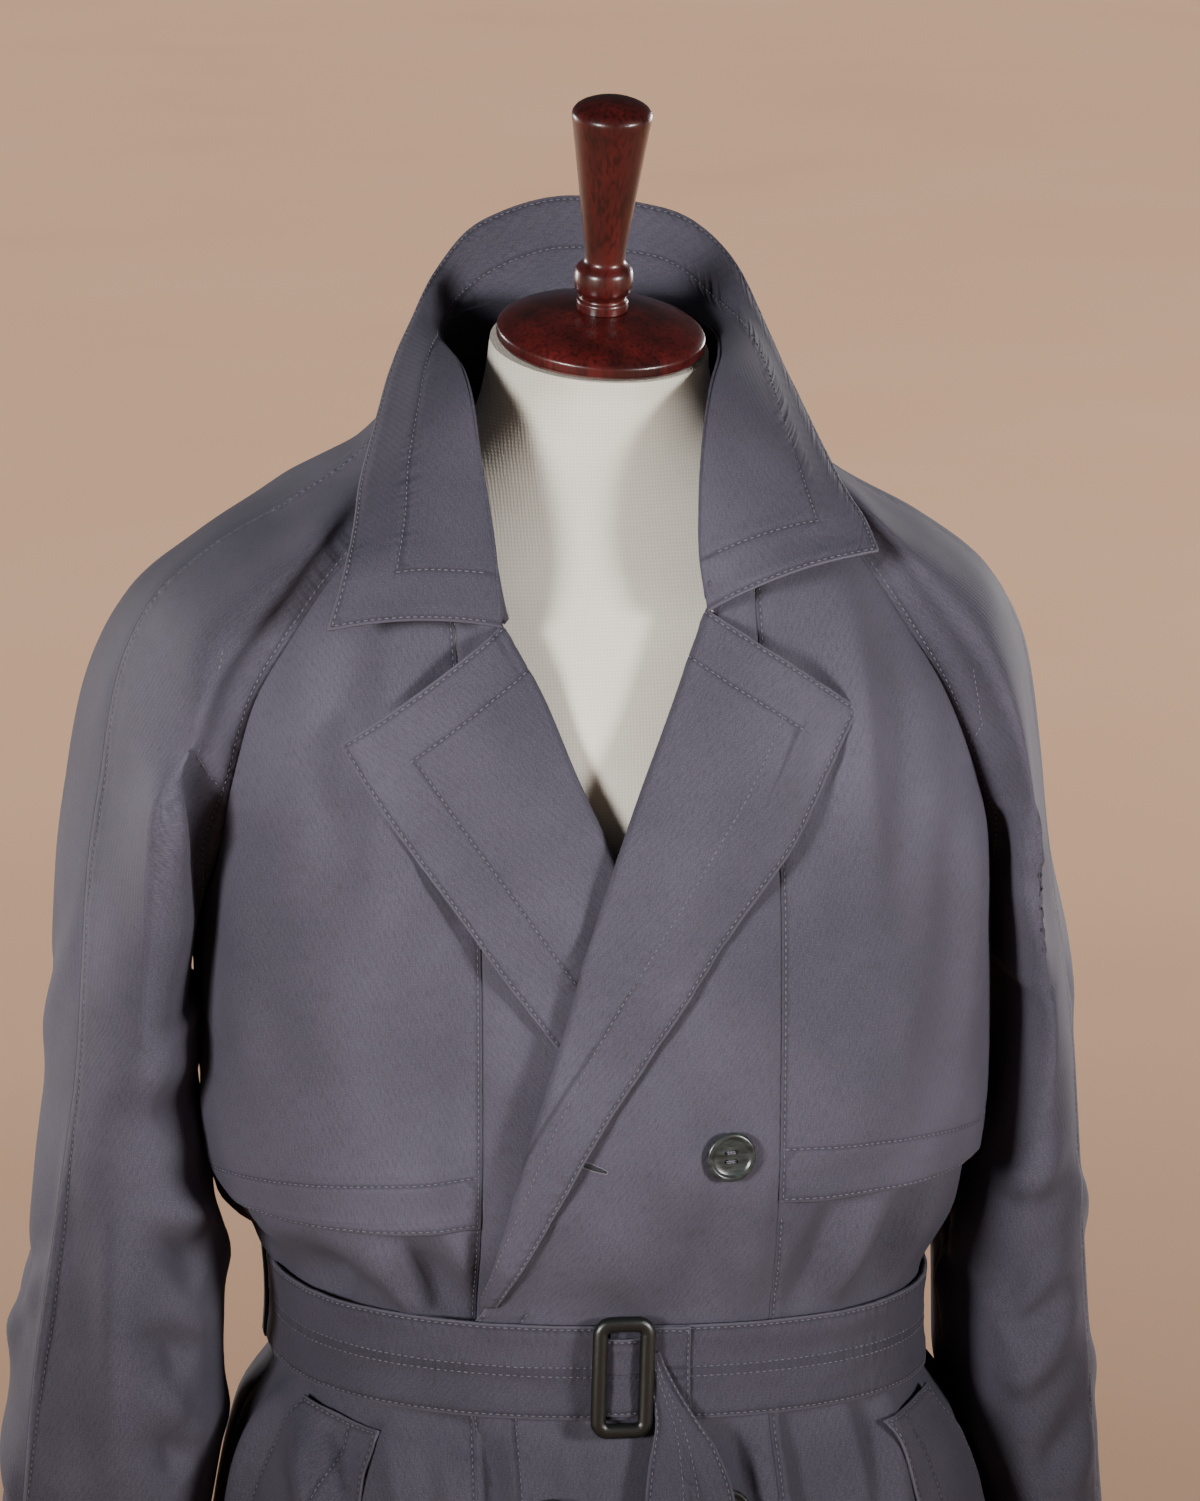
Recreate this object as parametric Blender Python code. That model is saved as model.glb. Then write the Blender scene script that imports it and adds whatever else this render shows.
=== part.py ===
"""A belted, double-breasted trench coat with raglan sleeves, worn by a tailor's dress form on a stand.

Metres, +Z up. The coat faces -Y, +X is the wearer's left, and the origin is the middle of the
stand's underside. Every cloth piece is a sheet whose points come from a few surfaces: the body's
rings, the sleeve's sections and the collar's rails. A Solidify modifier gives the sheet its wall.
"""
import math

import bmesh
import bpy
import numpy as np
from mathutils import Matrix

LEFT, RIGHT = 1, -1  # the wearer's sides, as signs of X
SIDE_NAME = {LEFT: "left", RIGHT: "right"}

# ---------------------------------------------------------------- driving sizes
CLOTH = 0.0016  # wall of one made-up layer: face cloth and its turned hem
LAPEL_CLOTH = 0.0014
BELT_CLOTH = 0.0024
SEAM = 0.0004  # what each panel is held back from a seam line
RAGLAN_SEAM = 0.0007

HEM = 0.400
FRONT_TOP = 1.438  # the neck ends of the raglan seams
BACK_TOP = 1.4535
ARMPIT = 1.150
BELT_HEIGHT = 0.966
BELT_WIDTH = 0.050
BELT_OUT = 0.0050  # its outer face stands this far off the body
BELT_FLARE = 0.55  # how far its edges follow the body out
BELT_TILT = -0.040  # the waist and its belt drop towards the wearer's left
CLOSING_EDGE = -0.086  # the left front laps over the right one as far as this X
UNDER_EDGE = 0.060  # and the right front reaches this far below it
FLAP_HEM = {LEFT: 1.056, RIGHT: 1.046}
FLAP_OUT = 0.0026
FLAP_HANG = 0.0080  # how far the flap's free hem stands off the body
FLAP_SIDE_ANGLE = 80.0
LAP_SINK = 0.0096  # the right front lies this far under the left one above the belt
SKIRT_SINK = 0.0032

BUTTON_RADIUS = 0.0131
BUTTON_THICK = 0.0042
BUTTON_COLUMNS = {LEFT: 0.0410, RIGHT: -0.0490}
BUTTON_ROWS = (1.085, 0.893, 0.701)

BUCKLE_X = -0.0110
BUCKLE_HEIGHT = 0.0650
BUCKLE_WIDTH = 0.0325
BUCKLE_BAR = 0.0040
BUCKLE_OUT = 0.0120  # its middle plane stands this far off the body
BUCKLE_TURN = math.radians(1.7)

POLE_RADIUS = 0.0125
BASE_RADIUS = 0.190
BASE_THICK = 0.014

# ---------------------------------------------------------------- tables
# The body as level rings: height, half width, depth in front and behind, squareness.
BODY_RINGS = (
    (0.400, 0.252, 0.196, 0.200, 2.15),
    (0.600, 0.234, 0.188, 0.190, 2.20),
    (0.760, 0.213, 0.176, 0.173, 2.25),
    (0.850, 0.203, 0.166, 0.157, 2.30),
    (0.905, 0.190, 0.148, 0.141, 2.35),
    (0.938, 0.171, 0.1325, 0.119, 2.40),
    (0.966, 0.168, 0.130, 0.115, 2.40),
    (0.994, 0.171, 0.1325, 0.118, 2.40),
    (1.030, 0.189, 0.147, 0.135, 2.40),
    (1.080, 0.200, 0.156, 0.142, 2.40),
    (1.150, 0.206, 0.157, 0.145, 2.40),
    (1.220, 0.207, 0.154, 0.144, 2.40),
    (1.300, 0.199, 0.142, 0.137, 2.40),
    (1.360, 0.180, 0.123, 0.124, 2.40),
    (1.400, 0.152, 0.100, 0.108, 2.30),
    (1.440, 0.103, 0.062, 0.086, 2.20),
    (1.460, 0.088, 0.050, 0.080, 2.10),
)
# The coat hangs a little towards the wearer's right above the chest: height, shift in X.
LEAN = ((0.0, 0.0), (0.980, 0.0), (1.080, -0.006), (1.150, -0.005), (1.225, -0.005), (1.270, -0.008),
        (1.340, -0.014), (1.385, -0.013), (1.450, -0.0085))
# The raglan seam round the ring, the same in front and behind: height, angle from centre front.
RAGLAN = ((1.150, 90.0), (1.185, 82.0), (1.225, 72.0), (1.270, 66.0), (1.310, 60.0), (1.340, 54.0),
          (1.370, 49.0), (1.405, 44.5), (1.440, 45.5))
# The neckline: angle from centre front, height.
NECKLINE = ((12.8, 1.352), (16.0, 1.378), (20.5, 1.402), (29.0, 1.422), (42.0, 1.437), (65.0, 1.444),
            (90.0, 1.447), (115.0, 1.450), (140.0, 1.454), (180.0, 1.458))
# Folds of the body: angle (positive to the wearer's left), half spread, depth, top, deepest height,
# bottom (0 where they run out over the hem).
FOLDS = (
    (-166, 12, 0.011, 0.945, 0.55, 0.00),
    (-141, 12, 0.014, 0.945, 0.50, 0.00),
    (-114, 11, 0.011, 0.945, 0.60, 0.00),
    (-86, 9, 0.008, 0.945, 0.62, 0.00),
    (-60, 9, 0.007, 0.930, 0.50, 0.00),
    (-33, 7, -0.007, 0.945, 0.86, 0.55),
    (30, 8, -0.005, 0.945, 0.84, 0.50),
    (58, 10, 0.007, 0.940, 0.52, 0.00),
    (87, 9, 0.008, 0.945, 0.62, 0.00),
    (115, 11, 0.012, 0.945, 0.58, 0.00),
    (142, 12, 0.014, 0.945, 0.50, 0.00),
    (167, 11, 0.010, 0.945, 0.55, 0.00),
    (-152, 9, 0.006, 1.180, 1.03, 0.990),
    (-122, 9, 0.007, 1.160, 1.03, 0.990),
    (-70, 8, 0.004, 1.110, 1.03, 0.992),
    (-46, 8, -0.004, 1.110, 1.02, 0.992),
    (48, 9, -0.005, 1.110, 1.03, 0.992),
    (72, 8, 0.004, 1.110, 1.03, 0.992),
    (124, 9, 0.007, 1.160, 1.03, 0.990),
    (154, 9, 0.006, 1.180, 1.03, 0.990),
)
# A sleeve's sections from neck to cuff: the inner seam (distance out and height; on the raglan part the
# height picks the point of the raglan seam), the outer seam of each sleeve, the middle of its front and
# back (a share of the way from inner to outer seam, height), and their depths.
SLEEVE = (
    # inner_x inner_z left_x right_x outer_z middle mid_z  front_y  back_y
    (0.000, 1.438, 0.0890, 0.1060, 1.447, 0.300, 1.443, -0.0420, 0.0560),
    (0.000, 1.405, 0.1008, 0.1232, 1.429, 0.300, 1.421, -0.0500, 0.0640),
    (0.000, 1.370, 0.1315, 0.1595, 1.404, 0.400, 1.394, -0.0880, 0.0900),
    (0.000, 1.340, 0.1720, 0.2000, 1.380, 0.490, 1.354, -0.0960, 0.1020),
    (0.000, 1.310, 0.2075, 0.2330, 1.350, 0.510, 1.314, -0.0980, 0.1100),
    (0.000, 1.270, 0.2260, 0.2515, 1.310, 0.540, 1.268, -0.0960, 0.1100),
    (0.000, 1.225, 0.2320, 0.2608, 1.262, 0.570, 1.220, -0.0900, 0.1050),
    (0.000, 1.185, 0.2365, 0.2692, 1.212, 0.520, 1.175, -0.0850, 0.1000),
    (0.208, 1.150, 0.2430, 0.2735, 1.160, 0.520, 1.132, -0.0810, 0.0950),
    (0.212, 1.105, 0.2490, 0.2772, 1.115, 0.475, 1.090, -0.0770, 0.0890),
    (0.209, 1.050, 0.2540, 0.2860, 1.055, 0.450, 1.045, -0.0740, 0.0830),
    (0.205, 0.990, 0.2585, 0.2945, 1.000, 0.430, 0.990, -0.0720, 0.0770),
    (0.205, 0.930, 0.2630, 0.3030, 0.945, 0.430, 0.935, -0.0700, 0.0700),
    (0.212, 0.870, 0.2685, 0.3095, 0.880, 0.420, 0.874, -0.0690, 0.0620),
    (0.224, 0.810, 0.2740, 0.3145, 0.820, 0.420, 0.814, -0.0690, 0.0540),
    (0.233, 0.758, 0.2790, 0.3190, 0.766, 0.420, 0.762, -0.0690, 0.0480),
)
RAGLAN_ROWS = 8  # the sections whose inner seam is the raglan seam
RAGLAN_STEPS = tuple(8 * i / 11 for i in range(12))
SLEEVE_BULGE = 0.035  # the seam runs in front of the sleeve's widest part: how far its section leans back
NECK_ANGLES = (45.5, 62.0, 90.0, 118.0, 134.5)  # where the sleeve's seams and middles meet the neckline
SHOULDER_DROP = {LEFT: 0.0, RIGHT: 0.002}
UNDERARM_Y = 0.004
SLEEVE_BACK = {LEFT: 0.018, RIGHT: 0.000}  # how far back each cuff hangs
SLEEVE_IN = {LEFT: 0.015, RIGHT: 0.006}  # how far in its inner seam hangs at the waist
# The collar's rails from the notch to the centre back, one row for each row of NECKLINE: crest X Y Z,
# edge X Y Z.
COLLAR = {
    RIGHT: (
        (-0.0720, -0.1300, 1.3560, -0.1590, -0.1400, 1.3590),
        (-0.0730, -0.1220, 1.3870, -0.1490, -0.1260, 1.3820),
        (-0.0745, -0.1060, 1.4130, -0.1400, -0.1010, 1.3990),
        (-0.0760, -0.0860, 1.4380, -0.1320, -0.0700, 1.4180),
        (-0.0760, -0.0630, 1.4600, -0.1185, -0.0330, 1.4430),
        (-0.0770, -0.0340, 1.4730, -0.1055, 0.0020, 1.4640),
        (-0.0800, 0.0040, 1.4780, -0.0905, 0.0330, 1.4830),
        (-0.0725, 0.0420, 1.4820, -0.0725, 0.0620, 1.5060),
        (-0.0460, 0.0690, 1.4860, -0.0480, 0.0850, 1.5260),
    ),
    LEFT: (
        (0.0355, -0.1300, 1.3610, 0.1215, -0.1260, 1.3860),
        (0.0335, -0.1190, 1.3870, 0.1200, -0.1060, 1.3960),
        (0.0360, -0.1050, 1.4130, 0.1150, -0.0780, 1.4080),
        (0.0410, -0.0880, 1.4400, 0.1100, -0.0480, 1.4230),
        (0.0490, -0.0650, 1.4620, 0.1045, -0.0150, 1.4410),
        (0.0590, -0.0360, 1.4750, 0.0995, 0.0160, 1.4590),
        (0.0640, 0.0040, 1.4790, 0.0940, 0.0430, 1.4790),
        (0.0590, 0.0420, 1.4820, 0.0845, 0.0680, 1.5050),
        (0.0370, 0.0690, 1.4860, 0.0575, 0.0920, 1.5285),
    ),
}
COLLAR_BACK = (-0.0040, 0.0800, 1.4870, 0.0020, 0.0990, 1.5370)
COLLAR_BULGE = (0.0, -0.006, 0.010)
# The lapels from below: roll line X Z, outer edge X Z.
LAPEL = {
    LEFT: (
        (-0.0825, 1.003, -0.0735, 1.003),
        (-0.0765, 1.030, -0.0610, 1.030),
        (-0.0630, 1.088, -0.0330, 1.088),
        (-0.0470, 1.142, 0.0000, 1.140),
        (-0.0320, 1.195, 0.0330, 1.190),
        (-0.0160, 1.242, 0.0630, 1.232),
        (0.0010, 1.285, 0.0850, 1.265),
        (0.0180, 1.325, 0.0990, 1.291),
        (0.0345, 1.360, 0.1080, 1.308),
    ),
    RIGHT: (
        (0.0440, 1.060, 0.0290, 1.052),
        (0.0300, 1.100, 0.0000, 1.086),
        (0.0140, 1.150, -0.0360, 1.130),
        (-0.0020, 1.200, -0.0720, 1.178),
        (-0.0170, 1.243, -0.0980, 1.217),
        (-0.0340, 1.282, -0.1190, 1.250),
        (-0.0510, 1.323, -0.1350, 1.277),
        (-0.0690, 1.356, -0.1460, 1.298),
    ),
}
LAPEL_ROLL = 0.0044  # radius of the soft fold at the roll line
NECK_BACK_ANGLE = 1.5  # and above the lapel it stops this many degrees short of the neckline
EDGE_BACK = 0.0047  # the front's edge stops this far inside the fold
LAPEL_LEG = 0.0090  # what is turned in behind the front's edge
# The pocket welts from the top: angle and level of the long inner edge and of the free outer one.
WELT = (
    (43.5, 0.927, 67.0, 0.934),
    (45.0, 0.890, 71.5, 0.897),
    (47.5, 0.850, 74.5, 0.856),
    (53.0, 0.775, 79.0, 0.780),
)
# The belt's hanging end: centre X, height, half width, stand-off.
TAIL = (
    (0.0094, 0.9780, 0.0036, 0.0094),
    (0.0112, 0.9640, 0.0054, 0.0102),
    (0.0162, 0.9420, 0.0104, 0.0116),
    (0.0190, 0.9260, 0.0170, 0.0124),
    (0.0198, 0.9080, 0.0222, 0.0124),
    (0.0198, 0.8900, 0.0242, 0.0118),
    (0.0200, 0.8500, 0.0250, 0.0085),
    (0.0202, 0.7900, 0.0250, 0.0062),
    (0.0205, 0.7500, 0.0240, 0.0054),
    (0.0205, 0.7380, 0.0150, 0.0052),
    (0.0205, 0.7270, 0.0030, 0.0051),
)
TAIL_CROWN = 0.0016  # its middle stands this far in front of its edges
# The dress form: height, half width, front, back, squareness, centre in Y.
FORM = (
    (0.800, 0.157, 0.104, 0.102, 2.2, 0.000),
    (0.880, 0.158, 0.108, 0.104, 2.2, 0.000),
    (0.965, 0.148, 0.106, 0.098, 2.2, 0.000),
    (1.080, 0.158, 0.118, 0.108, 2.3, 0.000),
    (1.200, 0.176, 0.128, 0.118, 2.4, 0.000),
    (1.290, 0.180, 0.122, 0.118, 2.4, 0.000),
    (1.345, 0.168, 0.104, 0.108, 2.4, 0.000),
    (1.380, 0.138, 0.082, 0.088, 2.3, 0.000),
    (1.405, 0.104, 0.068, 0.073, 2.2, 0.000),
    (1.425, 0.077, 0.058, 0.062, 2.1, -0.001),
    (1.445, 0.062, 0.053, 0.056, 2.0, -0.003),
    (1.465, 0.057, 0.051, 0.055, 2.0, -0.007),
    (1.476, 0.056, 0.051, 0.053, 2.0, -0.010),
)
NECK_TILT = math.radians(13.0)  # the form's neck leans forward
NECK_SIDE_TILT = math.radians(2.6)  # and a little to the wearer's left
FINIAL_SIDE_TILT = math.radians(0.6)
NECK_TOP = (0.0, -0.0125, 1.4780)
# Turned wood, radius and height above the neck's top.
NECK_CAP = ((0.0520, 0.0000), (0.0535, 0.0025), (0.0535, 0.0060), (0.0515, 0.0085), (0.0440, 0.0120),
            (0.0300, 0.0160), (0.0145, 0.0185))
FINIAL = ((0.0132, 0.0190), (0.0132, 0.0230), (0.0118, 0.0255), (0.0146, 0.0300), (0.0152, 0.0350),
          (0.0146, 0.0400), (0.0104, 0.0455), (0.0108, 0.0520), (0.0134, 0.0720), (0.0165, 0.0950),
          (0.0193, 0.1150), (0.0204, 0.1230), (0.0190, 0.1262), (0.0120, 0.1300), (0.0050, 0.1315))


# ---------------------------------------------------------------- curves through tables
def smooth_through(xs, ys, x):
    """A smooth curve through the points that doesn't overshoot between them (monotone cubic)."""
    xs, ys = np.asarray(xs, float), np.asarray(ys, float)
    x = np.clip(x, xs[0], xs[-1])
    i = int(np.clip(np.searchsorted(xs, x) - 1, 0, len(xs) - 2))
    steps = np.diff(xs)
    slopes = (np.diff(ys, axis=0).T / steps).T
    tangents = np.zeros_like(ys)
    tangents[0], tangents[-1] = slopes[0], slopes[-1]
    same_way = slopes[:-1] * slopes[1:] > 0
    mean = 2 * slopes[:-1] * slopes[1:] / np.where(same_way, slopes[:-1] + slopes[1:], 1)
    tangents[1:-1] = np.where(same_way, mean, 0)
    t = (x - xs[i]) / steps[i]
    hold, rise = 2 * t**3 - 3 * t**2 + 1, t**3 - 2 * t**2 + t
    return (hold * ys[i] + rise * steps[i] * tangents[i] + (1 - hold) * ys[i + 1]
            + (t**3 - t**2) * steps[i] * tangents[i + 1])


def column(table, x, key=0, value=1):
    return float(smooth_through([row[key] for row in table], [row[value] for row in table], x))


def row_at(table, share):
    """All columns of a table at a share, 0 to 1, of the way from its first row to its last."""
    return smooth_through(np.linspace(0, 1, len(table)), np.asarray(table, float), share)


def soft_step(x, low, high):
    t = min(1.0, max(0.0, (x - low) / (high - low)))
    return t * t * (3 - 2 * t)


def spread(low, high, count):
    return [low + (high - low) * i / (count - 1) for i in range(count)]


def stretches(*runs):
    """Heights from runs of (low, high, steps), each run's end being the next one's start."""
    heights = [runs[0][0]]
    for low, high, steps in runs:
        heights += spread(low, high, steps + 1)[1:]
    return heights


# ---------------------------------------------------------------- the body's surface
def lean(z):
    return column(LEAN, z)


def ring(level):
    """Half width, front, back and squareness of the body at a level."""
    return smooth_through([r[0] for r in BODY_RINGS], [r[1:] for r in BODY_RINGS], level)


def tilt(x, height):
    """How far the rings near the waist are tilted up or down at this X."""
    return BELT_TILT * x * soft_step(height, 0.80, 0.92) * (1 - soft_step(height, 1.00, 1.05))


def fold_depth(angle, level):
    depth = 0.0
    for at, half, deep, top, full, bottom in FOLDS:
        off = (angle - at) / half
        if abs(off) >= 2 or not bottom < level < top:
            continue
        along = soft_step(level, bottom, full) if level < full and bottom else 1.0
        along *= 1 - soft_step(level, full, top) ** 2 if level > full else 1.0
        depth += deep * along * math.exp(-1.6 * off * off)
    return depth


def sink(x, level):
    """How far the right front lies under the left one."""
    deep = SKIRT_SINK + (LAP_SINK - SKIRT_SINK) * soft_step(level, 0.955, 0.998)
    return deep * soft_step(x, -0.125, -0.079) * (1 - soft_step(level, 1.30, 1.36))


def plain(side, angle, level, out=0.0):
    """A point of the plain ring at a level, angle degrees round from centre front towards that side."""
    half, front, back, square = ring(level)
    a = math.radians(angle)
    s, c = math.sin(a), math.cos(a)
    depth = front if c > 0 else back
    x = math.copysign(abs(s) ** (2 / square), s) * half
    y = -math.copysign(abs(c) ** (2 / square), c) * depth
    nx = math.copysign(abs(s) ** (2 - 2 / square), s) / half
    ny = -math.copysign(abs(c) ** (2 - 2 / square), c) / depth
    size = math.hypot(nx, ny)
    z = level + tilt(side * x, level)
    return np.array([side * (x + out * nx / size) + lean(level), y + out * ny / size, z])


def body(side, angle, level, out=0.0, folds=True):
    """A point of the body's outer face: the plain ring with its folds and with the right front's sink."""
    if folds:
        out += fold_depth(side * angle, level)
    if side == RIGHT and angle < 90:
        out -= sink(plain(side, angle, level)[0] - lean(level), level)
    return plain(side, angle, level, out)


def angle_of(side, x, level):
    """The angle from centre front of the body's point at this X, negative past the centre."""
    half, square = ring(level)[[0, 3]]
    share = side * (x - lean(level)) / half
    return math.degrees(math.asin(math.copysign(min(1.0, abs(share)) ** (square / 2), share)))


def chest(side, x, z, out):
    """A point of the front by its X and height, as for what lies on it."""
    level = z - tilt(x, z)
    return body(side, angle_of(side, x, level), level, out, folds=False)


def seam_x(side, z):
    """The long front seam, where the flap's front edge is caught."""
    middle = -0.008 - 0.0075 * soft_step(z, 1.20, 1.35)
    return middle + side * (0.0765 + 0.05 * max(0.0, 0.94 - z) - 0.016 * soft_step(z, 1.37, 1.44))


def raglan_angle(z):
    return column(RAGLAN, z) if z > ARMPIT else 90.0


def neckline_angle(z):
    return column([(height, angle) for angle, height in NECKLINE], z)


# ---------------------------------------------------------------- making solids
MATERIALS = {
    "gabardine": ((0.125, 0.115, 0.145), 0.75, 0.0),
    "button_horn": ((0.022, 0.030, 0.028), 0.25, 0.0),
    "buckle_leather": ((0.010, 0.014, 0.012), 0.30, 0.0),
    "canvas": ((0.76, 0.72, 0.64), 0.85, 0.0),
    "stained_wood": ((0.060, 0.012, 0.008), 0.22, 0.0),
    "painted_steel": ((0.020, 0.020, 0.022), 0.40, 1.0),
}


def make_materials():
    made = {}
    for name, (colour, roughness, metallic) in MATERIALS.items():
        material = bpy.data.materials.new(name)
        material.use_nodes = True
        shader = material.node_tree.nodes["Principled BSDF"]
        shader.inputs["Base Color"].default_value = (*colour, 1)
        shader.inputs["Roughness"].default_value = roughness
        shader.inputs["Metallic"].default_value = metallic
        made[name] = material
    return made


def add_object(name, mesh, material):
    obj = bpy.data.objects.new(name, mesh)
    bpy.context.scene.collection.objects.link(obj)
    mesh.materials.append(material)
    mesh.shade_smooth()
    mesh.set_sharp_from_angle(angle=math.radians(40))
    return obj


def held_back(grid, first=0.0, last=0.0, low=0.0, high=0.0):
    """Moves a grid's edges in along its rows (first, last) and columns (low, high)."""
    grid = np.array(grid, float)
    for edge, inner, gap in ((grid[:, 0], grid[:, 1], first), (grid[:, -1], grid[:, -2], last),
                             (grid[0], grid[1], low), (grid[-1], grid[-2], high)):
        way = inner - edge
        edge += gap * way / np.linalg.norm(way, axis=1, keepdims=True)
    return grid


def sheet(name, grid, material, wall=CLOTH, flip=False):
    """A cloth piece: a grid of points on its outer face, and a wall that goes in from there."""
    grid = np.asarray(grid, float)
    rows, columns = grid.shape[:2]
    bm = bmesh.new()
    bmesh.ops.create_grid(bm, x_segments=columns - 1, y_segments=rows - 1, size=1)
    bm.verts.ensure_lookup_table()
    for vert, point in zip(bm.verts, grid.reshape(-1, 3)):
        vert.co = point
    if flip:
        bmesh.ops.reverse_faces(bm, faces=bm.faces)
    mesh = bpy.data.meshes.new(name)
    bm.to_mesh(mesh)
    bm.free()
    obj = add_object(name, mesh, material)
    solid = obj.modifiers.new("wall", "SOLIDIFY")
    solid.thickness = wall
    solid.offset = -1
    solid.use_even_offset = True
    return obj


def sided(name, side):
    return f"{name}_{SIDE_NAME[side]}"


def turned(name, profile, material, segments=32, place=None):
    """A turned solid from (radius, height) rows, closed at both ends by fans."""
    bm = bmesh.new()
    rings = []
    for radius, height in profile:
        made = bmesh.ops.create_circle(bm, segments=segments, radius=radius)["verts"]
        for vert in made:
            vert.co.z = height
        rings.append(made)
    for lower, upper in zip(rings, rings[1:]):
        for i in range(segments):
            j = (i + 1) % segments
            bm.faces.new((lower[i], lower[j], upper[j], upper[i]))
    bm.faces.new(rings[0][::-1])
    bm.faces.new(rings[-1])
    bmesh.ops.recalc_face_normals(bm, faces=bm.faces)
    if place is not None:
        bmesh.ops.transform(bm, matrix=place, verts=bm.verts)
    mesh = bpy.data.meshes.new(name)
    bm.to_mesh(mesh)
    bm.free()
    return add_object(name, mesh, material)


# ---------------------------------------------------------------- body panels
def raglan_heights(top):
    """The heights where a panel meets the rows of the sleeve's grid, from the armpit to its top."""
    rows = [row_at(SLEEVE, at / (len(SLEEVE) - 1))[1] for at in RAGLAN_STEPS]
    share = [(z - ARMPIT) / (rows[0] - ARMPIT) for z in rows]
    return [ARMPIT + (top - ARMPIT) * s for s in share[::-1]]


def front_height(z):
    """The height on the front raglan seam that goes with a height on the back one."""
    return ARMPIT + (z - ARMPIT) * (FRONT_TOP - ARMPIT) / (BACK_TOP - ARMPIT) if z > ARMPIT else z


SKIRT_ROWS = ((HEM, 0.60, 1), (0.60, 0.76, 2), (0.76, 0.90, 3), (0.90, 0.94, 3), (0.94, 0.992, 2))


def to_neckline(angle, z, top):
    """Raises or lowers a row near a panel's top so that its last one follows the neckline."""
    level = smooth_through([a for a, _ in NECKLINE], [height for _, height in NECKLINE], angle)
    return z + (level - top) * soft_step(z, 1.36, top)


def add_fronts(cloth):
    """The middle front panels. The left one laps over the right one and both end at the long front seams."""
    for side in (LEFT, RIGHT):
        edge = {LEFT: CLOSING_EDGE, RIGHT: UNDER_EDGE}[side]
        roll = [(z, x) for x, z, _, _ in LAPEL[side]]
        grid = []
        for z in stretches(*SKIRT_ROWS, (0.992, 1.06, 6), (1.06, 1.35, 8), (1.35, 1.400, 4)):
            seam = angle_of(side, seam_x(side, z), z)
            if z <= roll[0][0]:
                share = soft_step(z, 0.985, roll[0][0])
                open_x = edge + (roll[0][1] + side * EDGE_BACK - edge) * share
                start = angle_of(side, open_x, z)
            elif z < roll[-1][0]:
                start = angle_of(side, column(roll, z) + side * EDGE_BACK, z)
            else:
                start = neckline_angle(z) + NECK_BACK_ANGLE
            grid.append([body(side, angle, z) for angle in spread(start, seam, 7)])
        grid = held_back(grid, last=SEAM)
        sheet(sided("front", side), grid, cloth, flip=side == RIGHT)


def add_side_fronts(cloth):
    """From the long front seam to the side seam, and above the armpit to the raglan seam."""
    for side in (LEFT, RIGHT):
        grid = []
        for z in stretches(*SKIRT_ROWS, (0.992, 1.03, 2), (1.03, ARMPIT, 3))[:-1] + raglan_heights(FRONT_TOP):
            angles = spread(angle_of(side, seam_x(side, z), z), raglan_angle(z), 10)
            grid.append([body(side, angle, to_neckline(angle, z, FRONT_TOP)) for angle in angles])
        grid = held_back(grid, first=SEAM, last=RAGLAN_SEAM)
        sheet(sided("side_front", side), grid, cloth, flip=side == RIGHT)


def add_backs(cloth):
    """Two back panels that meet at the centre back seam."""
    for side in (LEFT, RIGHT):
        grid = []
        for z in stretches(*SKIRT_ROWS, (0.992, 1.03, 2), (1.03, ARMPIT, 3))[:-1] + raglan_heights(BACK_TOP):
            start = 180 - raglan_angle(front_height(z))
            angles = spread(start, 180, 11)
            grid.append([body(side, angle, to_neckline(angle, z, BACK_TOP)) for angle in angles])
        grid = held_back(grid, first=RAGLAN_SEAM, last=SEAM)
        sheet(sided("back", side), grid, cloth, flip=side == RIGHT)


def add_storm_flaps(cloth):
    """A loose layer over each side front, caught in the front seam and the raglan seam, with a free hem."""
    for side in (LEFT, RIGHT):
        hem = FLAP_HEM[side]
        grid = []
        for z in stretches((hem, hem + 0.02, 3), (hem + 0.02, ARMPIT, 2))[:-1] + raglan_heights(FRONT_TOP):
            low = soft_step(1.20 - z, 0.0, 0.14)
            corner = 9.0 * max(0.0, 1 - (z - hem) / 0.02) ** 2
            start = angle_of(side, seam_x(side, z), z)
            end = min(raglan_angle(z), FLAP_SIDE_ANGLE) - corner
            row = []
            for i, angle in enumerate(spread(start, end, 9)):
                hang = low * (FLAP_HANG - FLAP_OUT) * soft_step(i, 0, 4)
                row.append(body(side, angle, to_neckline(angle, z, FRONT_TOP), FLAP_OUT + hang, folds=False))
            grid.append(row)
        grid = held_back(grid, first=SEAM, last=RAGLAN_SEAM)
        sheet(sided("storm_flap", side), grid, cloth, wall=LAPEL_CLOTH, flip=side == RIGHT)


def add_welts(cloth):
    """Slanting pocket welts, made from the side front's points moved out."""
    for side in (LEFT, RIGHT):
        grid = []
        for share in spread(0, 1, 8):
            inner, inner_level, outer, outer_level = row_at(WELT, share)
            row = []
            for across in spread(0, 1, 6):
                angle = inner + (outer - inner) * across
                level = inner_level + (outer_level - inner_level) * across
                row.append(body(side, angle, level, 0.0030 + 0.0018 * across))
            grid.append(row)
        sheet(sided("pocket_welt", side), grid, cloth, flip=side == LEFT)


# ---------------------------------------------------------------- sleeves
def quarter(a, corner, b, share):
    """A quarter of an ellipse from a to b, leaving a and reaching b along the lines to the corner."""
    turn = share * math.pi / 2
    return corner + (a - corner) * (1 - math.sin(turn)) + (b - corner) * (1 - math.cos(turn))


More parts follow.
